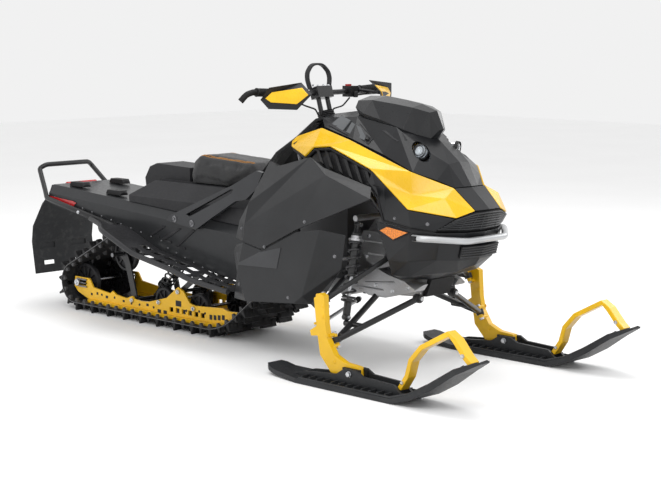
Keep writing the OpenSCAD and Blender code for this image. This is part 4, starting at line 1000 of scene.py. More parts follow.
class SNOWMOBILE_OT_front_suspension(Piece, bpy.types.Operator):
    """Ski shocks, arms' joints and the castings' fasteners"""

    bl_idname = "snowmobile.front_suspension"
    bl_label = "Front suspension"

    def make(self, sizes):
        strut_shock("ski_shock", (762, -322, 238), (747, -240, 596), 17, 29, 8, "chassis", True)
        eyes = []
        for p in ((762, -322, 238), (747, -240, 596)):
            ring = turned([(r * MM, h * MM) for r,
                           h in ((5.2, -13), (12, -13), (13, -11), (13, 11), (12, 13), (5.2, 13))], 24)
            eyes.append(moved(ring, Matrix.Translation(mm(*p)) @ facing((1, 0, 0))))
        place(joined("shock_eyes", both_sides(eyes), finish("shock_black")), "chassis", "shock_black",
              "ski_shocks")
        bolts = [moved(lathe([(-17, 5), (-15, 7.5), (-13.5, 7.5), (-13.4, 5), (13.4, 5), (13.5, 8), (19, 8),
                              (20, 6)], 6),
                       Matrix.Translation(mm(*p)) @ facing((1, 0, 0))) for p in ((762, -322, 238),
                                                                                 (747, -240, 596))]
        for x, y, z in ((849, -165.3, 470), (618, -165.3, 379), (945, -104, 308), (745, -112, 312)):
            bolts.append(moved(lathe([(-21, 6), (-20, 8.5), (-17.4, 8.5), (-17.3, 4), (17.3, 4), (17.4, 9),
                                      (22, 9), (23, 7)],
                                     6), Matrix.Translation(mm(x, y, z)) @ facing((1, 0, 0))))
        place(joined("arm_bolts", both_sides(bolts), finish("steel_bright")), "chassis", "steel_bright")
        bushes = [moved(turned([(r * MM, h * MM) for r,
                                h in ((15.1, -12), (17.5, -12), (18, -11), (18, 11), (17.5, 12),
                  (15.1, 12))], 24), Matrix.Translation(mm(*p)) @ facing((1, 0, 0)))
                  for p in ((849, -165.3, 470), (618, -165.3, 379), (945, -104, 308), (745, -112, 312))]
        place(joined("arm_bushes", both_sides(bushes), finish("arm_black")), "chassis", "arm_black")
        for node in ("upper_arms", "lower_arms"):
            copy_of(node, node + "_welded", 0.0012)
        ribs = []
        for x0, z0, x1, z1 in ((640, 330, 800, 330), (700, 350, 860, 368), (720, 470, 860, 470),
                               (700, 520, 850, 520)):
            ribs.append(rings([mm(x0, -151, z0), mm(x1, -151, z1)], 4 * MM, 8))
        place(joined("casting_ribs", both_sides(ribs), finish("cast_alloy")), "chassis", "cast_alloy")
        item = hex_bolt(13, 6)
        spots = [at((x, s * 150, z), (0, s, 0)) for s in SIDES
                 for x, z in ((650, 372), (760, 345), (850, 330), (930, 352), (720, 540), (800, 530),
                              (855, 455), (705, 455))]
        scatter("casting_bolts", item, spots, "chassis", "steel_bright")


class SNOWMOBILE_OT_lamps(Piece, bpy.types.Operator):
    """Headlight bowls, bulbs, bezels and lenses, and black backs behind the side reflectors"""

    bl_idname = "snowmobile.lamps"
    bl_label = "Lamps"

    def make(self, sizes):
        bowls, bezels, lenses, bulbs = [], [], [], []
        for side in SIDES:
            m = (Matrix.Translation(mm(955, side * 106, 888)) @ Matrix.Rotation(math.radians(24 * side), 4,
                                                                                "Z")
                 @ Matrix.Rotation(math.radians(98), 4, "Y"))
            curve = [(8 + 20.5 * math.sqrt(t), -44 + 44 * t) for t in (0.0, 0.08, 0.2, 0.4, 0.7, 1.0)]
            back = [(r + 1.6, h - 1.0) for r, h in reversed(curve)]
            bowls.append(moved(turned([(r * MM, h * MM) for r, h in curve + back], 40), m))
            for ring in ([(27.2, -2), (30.8, -5), (31, 8), (29.6, 10.5), (27.2, 6)],
                         [(17.5, -20), (19.5, -20), (19.5, -14), (17.5, -14)]):
                bezels.append(moved(turned([(r * MM, h * MM) for r, h in ring], 40), m))
            dome = [(0.5, 13.2), (9, 12.4), (18, 9.6), (25, 5.6), (28.6, 2.4), (28.6, 0.4), (25, 3.4),
                    (18, 7.4),
                    (9, 10.2), (0.5, 11)]
            lenses.append(moved(turned([(r * MM, h * MM) for r, h in dome], 40), m))
            bulb = [(0.5, -12), (9, -14), (15, -19), (16.5, -25), (14, -31), (0.5, -34)]
            bulbs.append(moved(turned([(r * MM, h * MM) for r, h in bulb], 32), m))
        place(joined("lamp_bowls", bowls, finish("lamp_chrome")), "chassis", "lamp_glass", "headlights")
        place(joined("lamp_bezels", bezels, finish("plastic_black")), "chassis", "plastic_black")
        place(joined("lamp_lenses", lenses, finish("lamp_glass"), 60), "chassis", "lamp_glass")
        place(joined("lamp_projectors", bulbs, finish("lamp_projector"), 60), "chassis", "lamp_glass")
        frames = []
        for side in SIDES:
            outline = [(-1388, 549), (-1369, 521), (-1184, 509), (-1161, 528), (-1190, 538)]
            y0, y1 = sorted((side * 205.3, side * 207.2))
            frames.append(prism([(x * MM, z * MM) for x, z in outline], y0 * MM, y1 * MM))
        place(joined("reflector_backs", frames, finish("plastic_black")), "chassis", "plastic_black")
        surround = [(872, 587), (948, 551), (1034, 590), (917, 609)]
        backs = [prism([(x * MM, z * MM) for x, z in surround],
                       *(v * MM for v in sorted((side * 250.5, side * 254))))
                 for side in SIDES]
        place(joined("amber_backs", backs, finish("plastic_black")), "chassis", "plastic_black")


class SNOWMOBILE_OT_bodywork(Piece, bpy.types.Operator):
    """Panel copies with rounded edges, grille slats, pads, fasteners, trims and black strips of painted shade behind
    the seams
    """

    bl_idname = "snowmobile.bodywork"
    bl_label = "Bodywork"

    def make(self, sizes):
        for node, width in ROUNDED_NODES.items():
            copy_of(node, node + "_shell", width)
        slats = []
        low = [(1118, -196, 602), (1180, -95, 598), (1196, 0, 598), (1180, 95, 598), (1118, 196, 602)]
        high = [(1176, -152, 642), (1211, -76, 666), (1217, 0, 668), (1211, 76, 666), (1176, 152, 642)]
        for k in range(7):
            t = (k + 0.6) / 7
            row = [Vector(a).lerp(Vector(b), t) + Vector((1.2, 0, 0)) for a, b in zip(low, high)]
            slats.append(rings([p * MM for p in row], 2.6 * MM, 6))
        for k in range(8):
            t = (k + 0.5) / 8 * 4
            i = min(int(t), 3)
            u = t - i
            a = Vector(low[i]).lerp(Vector(low[i + 1]), u)
            b = Vector(high[i]).lerp(Vector(high[i + 1]), u)
            slats.append(rings([a * MM, b * MM], 2.2 * MM, 6))
        for k in range(5):
            t = (k + 0.5) / 5
            row = [Vector(p).lerp(Vector(q), t) + Vector((9.5, 0, 0)) for p, q in
                   (((1153, -108, 488), (1166, -108, 536)), ((1169, 0, 486), (1185, 0, 536)),
                    ((1153, 108, 488), (1166, 108, 536)))]
            slats.append(rings([p * MM for p in row], 2.4 * MM, 6))
        place(joined("grille_slats", slats, finish("slat_grey")), "chassis", "plastic_black")
        self.hood_trim()
        insets = [inlay("lower_panel_right", ((140, -342, 436), (315, -358, 456), (428, -358, 484),
                                              (404, -359, 396),
                                              (171, -359, 387)), 2.0, 6)]
        place(joined("panel_insets", both_sides(insets), finish("inset_grey")), "chassis", "panel_grey")
        # Black strips of painted shade behind the panel gaps and the grille.
        self.seam_liners()
        item = hex_bolt(11, 4)
        spots = []
        for side in SIDES:
            for x, z, node in ((182, 540, "side_panel_right"), (330, 478, "side_panel_right"),
                               (560, 600, "side_panel_right"),
                               (150, 300, "lower_panel_right"), (470, 285, "lower_panel_right"),
                               (690, 470, "lower_panel_right"), (960, 640, "cowl_sides"),
                               (1090, 625, "cowl_sides")):
                hit, normal = skin_hit(node, mm(x, -700, z), (0, 1, 0))
                if side > 0:
                    hit, normal = Vector((hit.x, -hit.y, hit.z)), Vector((normal.x, -normal.y, normal.z))
                spots.append(Matrix.Translation(hit - normal * 0.0005) @ facing(normal))
        scatter("panel_screws", item, spots, "chassis", "steel_dark")

    def hood_trim(self):
        """Knee pads in their frames, pull tabs and the pockets round the headlights."""
        frames = [inlay("hood", ((478, -137, 969), (470, -52, 1008), (646, -124, 982), (744, -152, 930),
                                 (742, -178, 908), (618, -168, 938)), 2.2, 5)]
        place(joined("pad_frames", both_sides(frames), finish("panel_dark")), "chassis", "plastic_black")
        panes = [inlay("hood", ((490, -132, 971), (488, -70, 1003), (586, -116, 990), (574, -150, 950)), 5,
                       6),
                 inlay("hood", ((604, -128, 985), (664, -137, 966), (712, -160, 932), (716, -172, 920),
                                (600, -156, 946)), 5, 6)]
        place(joined("hood_pads", both_sides(panes), finish("pad_grey")), "chassis", "panel_grey")
        tabs = [inlay("hood", ((706, -150, 940), (722, -152, 932), (728, -160, 920), (714, -164, 922)), 8,
                      2)]
        place(joined("hood_tabs", both_sides(tabs), finish("plastic_black")), "chassis", "plastic_black")
        pockets = [inlay("hood", ((765, -124, 962), (862, -106, 953), (893, -116, 930), (860, -138, 922),
                                  (826, -138, 938)), 2, 4)]
        place(joined("lamp_pockets", both_sides(pockets), finish("panel_dark")), "chassis", "plastic_black")

    def seam_liners(self):
        """Black strips behind the gaps between the body panels, painted shade in the gaps."""
        heart = Vector((560, 0, 560))
        band = ((322, -200, 881), (441, -240, 850), (493, -240, 891), (585, -240, 900), (835, -265, 824),
                (911, -265, 770), (1033, -262, 680), (1181, -150, 650), (1211, -76, 674), (1115, -91, 756),
                (991, -200, 818), (662, -200, 925), (471, -170, 963), (350, -192, 924), (326, -200, 902))
        cowl = ((905, -257, 628), (1040, -253, 610), (1118, -200, 598), (1176, -152, 646),
                (1033, -262, 676),
                (911, -265, 766), (845, -285, 772), (884, -268, 715))
        side = ((354, -305, 808), (298, -296, 825), (225, -352, 650), (150, -335, 570), (125, -335, 492),
                (196, -360, 487), (312, -360, 466), (518, -360, 564))
        shade_strips = []
        # The thicker strip under the hood's lower edge is painted shadow beneath it.
        hood_edge = ((478, -160, 966), (668, -190, 926), (832, -186, 874), (992, -192, 816),
                     (1060, -130, 785),
                     (1112, -84, 756))
        for outline, closed, depth, radius in ((band, True, 19, 7.5), (cowl, True, 16, 7.5),
                                               (side, False, 16, 7.5),
                                               (hood_edge, False, 21, 12)):
            path = [(Vector(p) + (heart - Vector(p)).normalized() * depth) * MM for p in outline]
            shade_strips.append(rings(path, radius * MM, 8, closed=closed))
        place(joined("seam_liners", both_sides(shade_strips), finish("plastic_black")), "chassis",
              "plastic_black")
        # Black strips behind the grille's outline, the nose plate's rim and the chin: painted shade.
        front = ((1118, -196, 602), (1180, -95, 598), (1196, 0, 598), (1180, 95, 598), (1118, 196, 602),
                 (1176, 152, 642), (1211, 76, 666), (1217, 0, 668), (1211, -76, 666), (1176, -152, 642))
        back = Vector((900, 0, 620))
        path = [(Vector(p) + (back - Vector(p)).normalized() * 17) * MM for p in front]
        plate = ((1109, -91, 748), (1204, -76, 668), (1204, 76, 668), (1109, 91, 748))
        rim = [(Vector(p) + (heart - Vector(p)).normalized() * 16) * MM for p in plate]
        chin = [(Vector(p) + (back - Vector(p)).normalized() * 20) * MM
                for p in ((1118, -196, 598), (1180, -95, 593), (1196, 0, 593), (1180, 95, 593),
                          (1118, 196, 598))]
        place(joined("grille_liner", [rings(path, 8 * MM, 8, closed=True),
                                      rings(rim, 9 * MM, 8, closed=True),
                                      rings(chin, 10 * MM, 8)],
                     finish("plastic_black")), "chassis", "plastic_black")


class SNOWMOBILE_OT_seat(Piece, bpy.types.Operator):
    """Padded seat with sewn edges"""

    bl_idname = "snowmobile.seat"
    bl_label = "Seat"

    def make(self, sizes):
        outline = [(-437, 669), (-185, 669), (-60, 706), (16, 748), (-21, 776), (-150, 786), (-300, 793),
                   (-388, 793),
                   (-424, 766), (-446, 702)]
        rows = [(-103, 0.93), (-96, 0.985), (-60, 1.0), (0, 0.992), (60, 1.0), (96, 0.985), (103, 0.93)]
        centre = Vector((-210, 0, 730))
        verts, count = [], len(outline)
        for y, share in rows:
            for x, z in outline:
                p = Vector((x, y, z))
                flat = Vector((centre.x, y, centre.z))
                q = flat.lerp(p, share)
                verts.append(mm(q.x, y, max(q.z, 668.5)))
        faces = [tuple(range(count)), tuple((len(rows) - 1) * count + k for k in range(count - 1, -1, -1))]
        for r in range(len(rows) - 1):
            faces += [(r * count + i, (r + 1) * count + i, (r + 1) * count + (i + 1) % count,
                       r * count + (i + 1) % count)
                      for i in range(count)]
        pad = outward(new_mesh("seat_pad", verts, faces, finish("seat_cover"), crease=60))
        self.soften(pad)
        place(pad, "chassis", "seat_cover", "seat")
        tree = BVHTree.FromObject(pad, bpy.context.evaluated_depsgraph_get())
        stitch = joined("stitch_item", [block((-4.2, -1.1, -0.6), (4.2, 1.1, 1.3), 0.5)], None)
        spots = []
        for y in (-86, -78, 78, 86):
            line = self.top_line(tree, y)
            spots += line
        scatter("seat_stitches", stitch, spots, "chassis", "stitch_thread")
        seams = []
        for y in (-82, 82):
            line = self.top_line(tree, y, 12)
            seams.append(rings([m.translation for m in line], 1.6 * MM, 6, Vector((0, 1, 0))))
        place(joined("seat_piping", seams, finish("seat_cover")), "chassis", "seat_cover")

    def top_line(self, tree, y, step=11):
        """Places along the seat's top at one station across it."""
        places = []
        for x in range(-400, -30, step):
            hit, normal, _, _ = tree.ray_cast(mm(x, y, 900), Vector((0, 0, -1)))
            if hit is not None and normal.z > 0.25:
                along = Vector((0, 1, 0)).cross(normal).normalized()
                axes = Matrix((along, normal.cross(along), normal)).transposed().to_4x4()
                places.append(Matrix.Translation(hit) @ axes)
        return places

    def soften(self, pad):
        """Remesh, inflate by cloth pressure within a cap, and smooth."""
        remesh = pad.modifiers.new("remesh", "REMESH")
        remesh.mode = "VOXEL"
        remesh.voxel_size = 0.0055
        remesh.use_smooth_shade = True
        self.bake(pad)
        start = [v.co.copy() for v in pad.data.vertices]
        cloth = pad.modifiers.new("cloth", "CLOTH")
        cloth.settings.use_pressure = True
        cloth.settings.uniform_pressure_force = 4.0
        cloth.settings.effector_weights.gravity = 0.0
        for f in range(1, 21):
            bpy.context.scene.frame_set(f)
        self.bake(pad)
        cap = 0.006
        for v, old in zip(pad.data.vertices, start):
            step = v.co - old
            if old.z < 0.672:
                v.co = old
            elif step.length > cap:
                v.co = old + step.normalized() * cap
        bpy.context.scene.frame_set(1)
        smooth = pad.modifiers.new("smooth", "SMOOTH")
        smooth.factor = 0.6
        smooth.iterations = 4
        self.bake(pad)
        low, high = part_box("seat")
        for v in pad.data.vertices:
            v.co = Vector([min(max(v.co[k], low[k] - 0.004), high[k] + 0.004) for k in range(3)])
            v.co.z = max(v.co.z, low[2] + 0.0005)

    def bake(self, pad):
        """Applies the modifiers on the pad."""
        evaluated = pad.evaluated_get(bpy.context.evaluated_depsgraph_get())
        mesh = bpy.data.meshes.new_from_object(evaluated)
        pad.modifiers.clear()
        pad.data = mesh
        mesh.polygons.foreach_set("use_smooth", [True] * len(mesh.polygons))
        if not mesh.materials:
            mesh.materials.append(finish("seat_cover"))


class SNOWMOBILE_OT_tunnel(Piece, bpy.types.Operator):
    """Embossing, rivets, board lattice, flap panels and bumper fittings"""

    bl_idname = "snowmobile.tunnel"
    bl_label = "Tunnel and boards"

    def make(self, sizes):
        strokes = []
        for corners in (((-514, 477), (-494, 474), (-589, 425), (-611, 427)),
                        ((-406, 475), (-386, 473), (-504, 410), (-526, 413)),
                        ((-307, 478), (-286, 475), (-406, 391), (-428, 394))):
            foot = (corners[3], corners[2], (corners[2][0] + 52, corners[2][1] - 8),
                    (corners[2][0] + 46, corners[2][1] + 2))
            for quad in (corners, foot):
                for side in SIDES:
                    y0, y1 = sorted((side * 205.2, side * 208.2))
                    strokes.append(prism([(a * MM, b * MM) for a, b in quad], y0 * MM, y1 * MM))
        place(joined("tunnel_strokes", strokes, finish("panel_dark")), "chassis", "plastic_black")
        rivet = dome_rivet(10)
        spots = [at((x, s * 205.1, 478 - 0.168 * (x + 954)), (0, s, 0)) for s in SIDES for x in range(-1340,
                                                                                                      -520, 74)]
        spots += [at((x, s * 205.1, 500 - 0.26 * (x + 954)), (0, s, 0)) for s in SIDES for x in range(-480,
                                                                                                      60, 60)]
        scatter("tunnel_rivets", rivet, spots, "chassis", "steel_dark")
        for name, side in (("right", -1), ("left", 1)):
            copy_of("running_board_" + name, "board_" + name, 0.0, angle=40)
            teeth = joined("tooth_item", [lathe([(-1, 5), (3, 4), (3.6, 2.4), (1, 2)], 8)], None)
            places = [at((-600 + 82 * i + 20 * j + 64, side * (237 + 62 * j + 16),
                          self.board_z(-600 + 82 * i + 20 * j + 64)),
                         (0, 0, 1)) for i in range(7) for j in (0, 1)]
            scatter("board_teeth_" + name, teeth, places, "chassis", "board_black")
        for node in ("rear_bumper", "front_bumper"):
            copy_of(node, node + "_tube", 0.0, angle=50)
        feet = []
        for side in SIDES:
            for x in (-863, -1113):
                z = 464 - 0.168 * (x + 954)
                feet.append(moved(lathe([(0, 9), (3, 9), (3.2, 6), (7, 6)], 6),
                                  at((x, side * 234, z), (0, side, 0))))
        place(joined("bumper_bolts", feet, finish("steel_bright")), "chassis", "steel_bright")
        brackets = [block((1046, s * 251 - 17, 563), (1074, s * 251 + 17, 581), 4) for s in SIDES]
        place(joined("bumper_sleeves", brackets, finish("plastic_black")), "chassis", "plastic_black")
        panels = []
        for s in SIDES:
            y0, y1 = sorted((s * 34, s * 150))
            for (xa, za), (xb, zb) in (((-1485, 490), (-1560, 384)), ((-1572, 290), (-1560, 214))):
                a, b = Vector((xa - 5, 0, za)), Vector((xb - 5, 0, zb))
                n = Vector((-(b.z - a.z), 0, (b.x - a.x))).normalized() * 3
                if n.x > 0:
                    n = -n
                q = [a, b, b + n, a + n]
                panels.append(prism([(p.x * MM, p.z * MM) for p in q], y0 * MM, y1 * MM))
        place(joined("flap_panels", panels, finish("rubber_flap")), "chassis", "rubber_flap")
        heads = [moved(lathe([(0, 15), (3, 15), (4, 13), (4, 10), (2, 9.5), (2, 6), (6, 5.5)], 20),
                       at((x, s * 227.2, z), (0, s, 0))) for s in SIDES for x,
                       z in ((-403, 518), (-285, 508))]
        place(joined("strut_bolts", heads, finish("steel_dark")), "chassis", "steel_dark")

    def board_z(self, x):
        """Top of the running board at a station."""
        line = [(-1000, 470), (-880, 456), (-770, 446), (-536, 360), (-277, 319), (-143, 287), (102, 264)]
        for (xa, za), (xb, zb) in zip(line, line[1:]):
            if xa <= x <= xb:
                return za + (zb - za) * (x - xa) / (xb - xa) + 2.5
        return 264.0


BAR_BEND, BAR_END = Vector((299, 110, 1093)), Vector((281, 372, 1105))


def bar_at(y):
    """The bar's middle line at a station across the machine."""
    t = (abs(y) - 110) / 262
    p = BAR_BEND.lerp(BAR_END, t)
    return Vector((p.x, y, p.z))


class SNOWMOBILE_OT_steering(Piece, bpy.types.Operator):
    """Grips, levers, guard inserts, strap, boot and clamp fittings"""

    bl_idname = "snowmobile.steering"
    bl_label = "Steering"

    def make(self, sizes):
        levers = []
        hook = [Vector((0, 0, 0)), Vector((-6, 30, -8)), Vector((-20, 50, -36))]
        left = [(BAR_END + h) * MM for h in hook]
        line = arc_path(left[::-1] + [BAR_BEND * MM, flip_y(BAR_BEND) * MM] + flipped(left), 0.02, 6)
        place(joined("bar_tube", [rings(line, 11.1 * MM, 16)], finish("bar_black")), "steering",
              "bar_black", "handlebar")
        a, b = bar_at(-236), bar_at(-356)
        length = (b - a).length
        profile = [(0, 19.5), (4, 19.5), (5, 16)]
        for k in range(int((length - 16) / 6)):
            h = 8 + 6 * k
            profile += [(h, 17.2), (h + 3, 17.2), (h + 3.6, 15.8), (h + 5.4, 15.8)]
        profile += [(length - 6, 18), (length - 1, 18.4), (length, 16)]
        grips = [moved(lathe(profile, 24), between(a, b))]
        hook_pts = [BAR_END + h for h in hook]
        cover = arc_path([flip_y(BAR_END.lerp(BAR_BEND, 0.03)) * MM] + [flip_y(p) * MM for p in hook_pts],
                         0.015, 5)
        grips.append(rings(cover, [12.6 * MM] * len(cover), 16))
        place(joined("grip_sleeves", both_sides(grips), finish("grip_rubber")), "steering", "grip_rubber",
              "grips")
        blade = arc_path([mm(326, -172, 1080), mm(352, -200, 1084), mm(350, -260, 1088),
                          mm(344, -330, 1090)], 0.02, 5)
        levers.append(rings(blade, [5.5 * MM] * 3 + [5 * MM] * (len(blade) - 4) + [6.5 * MM], 10))
        pivot = moved(lathe([(-12, 9), (-10, 11), (10, 11), (12, 9)], 20), at((326, -176, 1081), (0, 0, 1)))
        levers.append(pivot)
        place(joined("levers", both_sides(levers), finish("lever_black")), "steering", "bar_black")
        buttons = [moved(block((-8, -6, -4), (8, 6, 5), 2),
                         Matrix.Translation(mm(286, y, 1119))) for y in (-166, 166, 180)]
        place(joined("switches", buttons, finish("button_red")), "steering", "red_lens")
        inserts = []
        guard = [(350, -366, 1082), (366, -348, 1066), (408, -252, 1058), (434, -214, 1094),
                 (388, -212, 1122),
                 (368, -340, 1106)]
        inserts.append(plate_on("hand_guards", [Vector(p) + Vector((120, -20, 0)) for p in guard],
                                (-1, 0.16, 0), 4.5, 1.5, 4))
        place(joined("guard_inserts", both_sides(inserts), finish("gloss_yellow")), "steering",
              "gloss_yellow")
        strap = [(286, -54.6, 1108), (280, -66, 1150), (276, -62, 1178), (270, -30, 1212), (270, 30, 1212),
                 (276, 62, 1178), (280, 66, 1150), (286, 54.6, 1108)]
        path = arc_path([mm(*p) for p in strap], 0.03, 6)
        flat = self.band(path)
        place(joined("strap_loop", [flat], finish("strap_black"), 50), "steering", "strap_black",
              "grab_strap")
        clamps = [moved(hex_shape(), at((287 + dx, y, 1120), (-0.2924, 0, 0.9563))) for dx in (-6,
                                                                                               22) for y in (-30, 30)]
        place(joined("clamp_bolts", clamps, finish("steel_bright")), "steering", "steel_bright")
        axis = Vector((-0.2924, 0, 0.9563))
        base = Vector((299, 0, 1093)) - axis * 128
        fold = []
        for k in range(6):
            h = 8 * k
            fold += [(h, 46 - k * 2.0), (h + 4, 40 - k * 2.0)]
        fold.append((48, 34))
        shell = [moved(lathe(fold, 32), Matrix.Translation(base * MM) @ facing(axis))]
        place(joined("post_boot", shell, finish("boot_rubber")), "steering", "grip_rubber")
        self.control_cable("cable_right", ((304, -162, 1067), (306, -110, 1044), (314, -50, 1026),
                                           (331, -40.4, 985),
                                           (337, -40.4, 966)))
        self.control_cable("cable_left", ((304, 162, 1067), (305, 120, 1034), (313, 52, 1024),
                                          (331, 40.4, 985),
                                          (337, 40.4, 966)))

    def control_cable(self, name, points):
        """One cable from its control down into the console."""
        diameter = 0.007
        path = arc_path([mm(*p) for p in points], 0.012, 4)
        cable = joined(name, [rings(path, diameter / 2, 12)], finish("cable_rubber"), 60)
        place(cable, "steering", "cable_rubber", "control_cables")

    def band(self, path):
        """A flat strap with rounded edges along a path in the plane across the machine."""
        section = [(-11, -3), (-10, -4.4), (10, -4.4), (11, -3), (11, 3), (10, 4.4), (-10, 4.4), (-11, 3)]
        verts, faces = [], []
        count, n = len(section), len(path)
        for i, p in enumerate(path):
            along = (path[min(i + 1, n - 1)] - path[max(i - 1, 0)]).normalized()
            wide = Vector((1, 0, 0))
            lift = along.cross(wide).normalized()
            wide = lift.cross(along)
            verts += [p + (wide * a + lift * b) * MM for a, b in section]
        for i in range(n - 1):
            faces += [(i * count + k, i * count + (k + 1) % count, (i + 1) * count + (k + 1) % count,
                       (i + 1) * count + k) for k in range(count)]
        faces += [tuple(range(count - 1, -1, -1)), tuple((n - 1) * count + k for k in range(count))]
        return verts, faces


def flip_y(p):
    return Vector((p[0], -p[1], p[2]))


def hex_shape(width=11.0, height=7.0):
    return lathe([(0, width * 0.62), (1.5, width * 0.62), (1.6, width * 0.52), (height, width * 0.52),
                  (height + 0.8, width * 0.4)], 6)


class SNOWMOBILE_OT_skis(Piece, bpy.types.Operator):
    """Keels, wear bars, ribs and bolts of the skis and their spindles"""

    bl_idname = "snowmobile.skis"
    bl_label = "Skis"

    def make(self, sizes):
        for name, side in (("right", -1), ("left", 1)):
            y = side * 462.5
            body = name + "_ski"
            walls = []
            for x in range(730, 1210, 40):
                for s in SIDES:
                    edge = y + s * 76
                    walls.append(block((x, min(edge, y + s * 38), 19), (x + 7, max(edge, y + s * 38), 33),
                                       2))
            for s in SIDES:
                rim = [mm(720, y + s * 77, 22), mm(1000, y + s * 77, 22), mm(1200, y + s * 77, 24),
                       mm(1296, y + s * 77, 52), mm(1384, y + s * 70, 99), mm(1490, y + s * 57, 166),
                       mm(1572, y + s * 28, 199)]
                walls.append(rings(rim, 5 * MM, 8))
            walls.append(rings([mm(1250, y, 36), mm(1290, y, 52), mm(1380, y, 98), mm(1490, y, 168)],
                               9 * MM, 10))
            place(joined("ski_ribs_" + name, walls, finish("ski_plastic")), body, "ski_plastic")
            keel = arc_path([mm(600, y, 4), mm(720, y, 3.2), mm(1180, y, 3.2), mm(1290, y, 22)], 0.05, 5)
            place(joined("wear_bar_" + name, [rings(keel, 3.2 * MM, 8)], finish("steel_bright")), body,
                  "steel_bright")
            bolts = []
            for s in SIDES:
                bolts.append(moved(hex_shape(20, 9), at((953, y + s * 38, 66), (0, s, 0))))
                bolts.append(moved(hex_shape(12, 6), at((1212, y + s * 23, 72), (0, s, 0))))
                bolts.append(moved(hex_shape(14, 6), at((1502, y + s * 23, 214), (0, s, 0))))
            place(joined("ski_bolts_" + name, bolts, finish("steel_bright")), body, "steel_bright")
            pads = [moved(block((-46, 11, -8), (46, 29, 26), 5),
                          Matrix.Translation(mm(950, y if s > 0 else y, 58)) @
                          Matrix.Scale(s, 4, (0, 1, 0))) for s in SIDES]
            place(joined("ski_rubber_" + name, pads, finish("grip_rubber")), body, "grip_rubber")
            spindle = name + "_spindle"
            studs = []
            for x, z in ((786, 300), (786, 262), (806, 190), (850, 96), (905, 74)):
                for s in SIDES:
                    studs.append(moved(lathe([(-0.5, 8), (1.2, 8), (1.8, 7), (1.8, 4.5), (0.8, 4)], 18),
                                       at((x, y + s * 13, z), (0, s, 0))))
            place(joined("spindle_bosses_" + name, studs, finish("forged_yellow")), spindle,
                  "forged_yellow")
            king = [Vector((816, side * 430, 169)), Vector((752, side * 426.5, 318))]
            axis = (king[1] - king[0]).normalized()
            nuts = [moved(hex_shape(18, 8),
                          Matrix.Translation((p + axis * k * 24.5) * MM) @ facing(axis * k))
                    for p in king for k in SIDES]
            place(joined("spindle_nuts_" + name, nuts, finish("steel_bright")), spindle, "steel_bright")
            gaiter = [moved(lathe([(0, 8), (4, 12), (8, 9), (12, 12.5), (16, 9), (20, 12), (24, 8)], 20),
                            between((682, side * 165, 283), (704, side * 430, 206)))]
            place(joined("tie_rod_gaiter_" + name, gaiter, finish("grip_rubber")), name + "_tie_rod",
                  "grip_rubber")
            copy_of("tie_rod_" + name, "tie_rod_shell_" + name, 0.001)


def area_light(name, location, target, size, power, colour=(1.0, 1.0, 1.0)):
    data = bpy.data.lights.new(name, "AREA")
    data.shape = "RECTANGLE"
    data.size, data.size_y = size
    data.energy = power
    data.color = colour
    light = bpy.data.objects.new(name, data)
    light.location = location
    light.rotation_euler = (Vector(target) - Vector(location)).to_track_quat("-Z", "Y").to_euler()
    bpy.context.scene.collection.objects.link(light)


CAMERA_AT = (5.1642, -4.7937, 1.3873)
CAMERA_TARGET = (0.053, 0.2975, 0.4173)


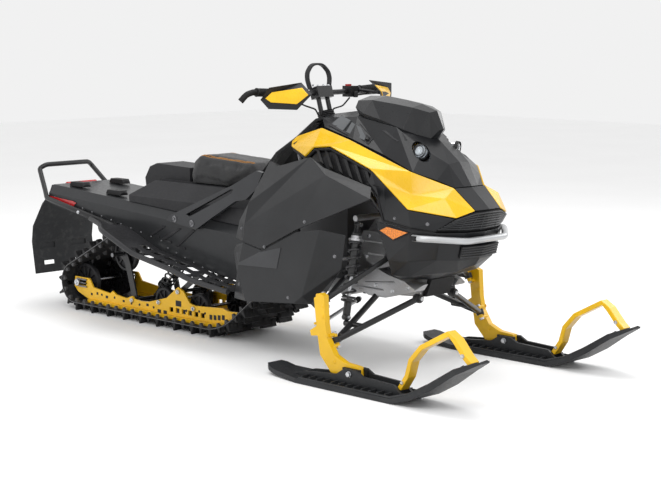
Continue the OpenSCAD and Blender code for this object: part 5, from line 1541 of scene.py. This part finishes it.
class SNOWMOBILE_OT_stage(Piece, bpy.types.Operator):
    """Floor, lights and camera"""

    bl_idname = "snowmobile.stage"
    bl_label = "Studio"

    def make(self, sizes):
        reach, rise = 14.0, 0.0
        floor = new_mesh("studio_floor", [(-reach, -reach, rise), (reach, -reach, rise),
                                          (reach, reach, rise),
                                          (-reach, reach, rise)], [(0, 1, 2, 3)])
        f = Finish("studio_floor")
        f.colour(f.mix(f.range(f.noise(1.2, 2.0), 0.0, 1.0), sizes.backdrop,
                       lighter(sizes.backdrop, 0.985)))
        f.put(Roughness=0.85)
        floor.data.materials.append(f.material)
        world = bpy.data.worlds.new("studio")
        world.use_nodes = True
        world.node_tree.nodes["Background"].inputs["Color"].default_value = (1.0, 1.0, 1.0, 1.0)
        world.node_tree.nodes["Background"].inputs["Strength"].default_value = 0.88
        bpy.context.scene.world = world
        bpy.context.scene.view_settings.view_transform = "Standard"
        area_light("key", (3.2, -3.6, 4.4), (0.2, 0.0, 0.4), (3.2, 2.2), 95.0)
        area_light("fill", (-3.8, -3.4, 2.6), (-0.4, 0.0, 0.4), (3.0, 2.0), 25.0)
        area_light("top", (0.0, 0.6, 4.6), (0.0, 0.0, 0.5), (4.0, 2.4), 80.0)
        area_light("rim", (1.6, 4.6, 2.6), (0.2, 0.0, 0.5), (3.0, 1.6), 55.0)
        camera_data = bpy.data.cameras.new("camera")
        camera_data.lens = 88.34
        camera_data.sensor_width = 36.0
        camera_data.clip_end = 60.0
        camera = bpy.data.objects.new("camera", camera_data)
        camera.location = CAMERA_AT
        camera.rotation_euler = (Vector(CAMERA_TARGET) - Vector(CAMERA_AT)).to_track_quat("-Z",
                                                                                          "Y").to_euler()
        bpy.context.scene.collection.objects.link(camera)
        bpy.context.scene.camera = camera


OPERATORS = (
    SNOWMOBILE_OT_carried_nodes,
    SNOWMOBILE_OT_bodywork,
    SNOWMOBILE_OT_lamps,
    SNOWMOBILE_OT_seat,
    SNOWMOBILE_OT_tunnel,
    SNOWMOBILE_OT_track,
    SNOWMOBILE_OT_skid,
    SNOWMOBILE_OT_front_suspension,
    SNOWMOBILE_OT_steering,
    SNOWMOBILE_OT_skis,
    SNOWMOBILE_OT_stage,
)


class SNOWMOBILE_PT_pieces(bpy.types.Panel):
    """Lists the sizes and the pieces"""

    bl_label = "Snowmobile"
    bl_idname = "SNOWMOBILE_PT_pieces"
    bl_space_type = "VIEW_3D"
    bl_region_type = "UI"
    bl_category = "Snowmobile"

    def draw(self, context):
        for key in SnowmobileSizes.__annotations__:
            self.layout.prop(context.scene.snowmobile, key)
        for operator in OPERATORS:
            self.layout.operator(operator.bl_idname)


CLASSES = (SnowmobileSizes, *OPERATORS, SNOWMOBILE_PT_pieces)


def register():
    for item in CLASSES:
        bpy.utils.register_class(item)
    bpy.types.Scene.snowmobile = bpy.props.PointerProperty(type=SnowmobileSizes)


def unregister():
    del bpy.types.Scene.snowmobile
    for item in reversed(CLASSES):
        bpy.utils.unregister_class(item)


def main():
    register()
    for operator in OPERATORS:
        group, name = operator.bl_idname.split(".")
        getattr(getattr(bpy.ops, group), name)()


if __name__ == "__main__":
    main()
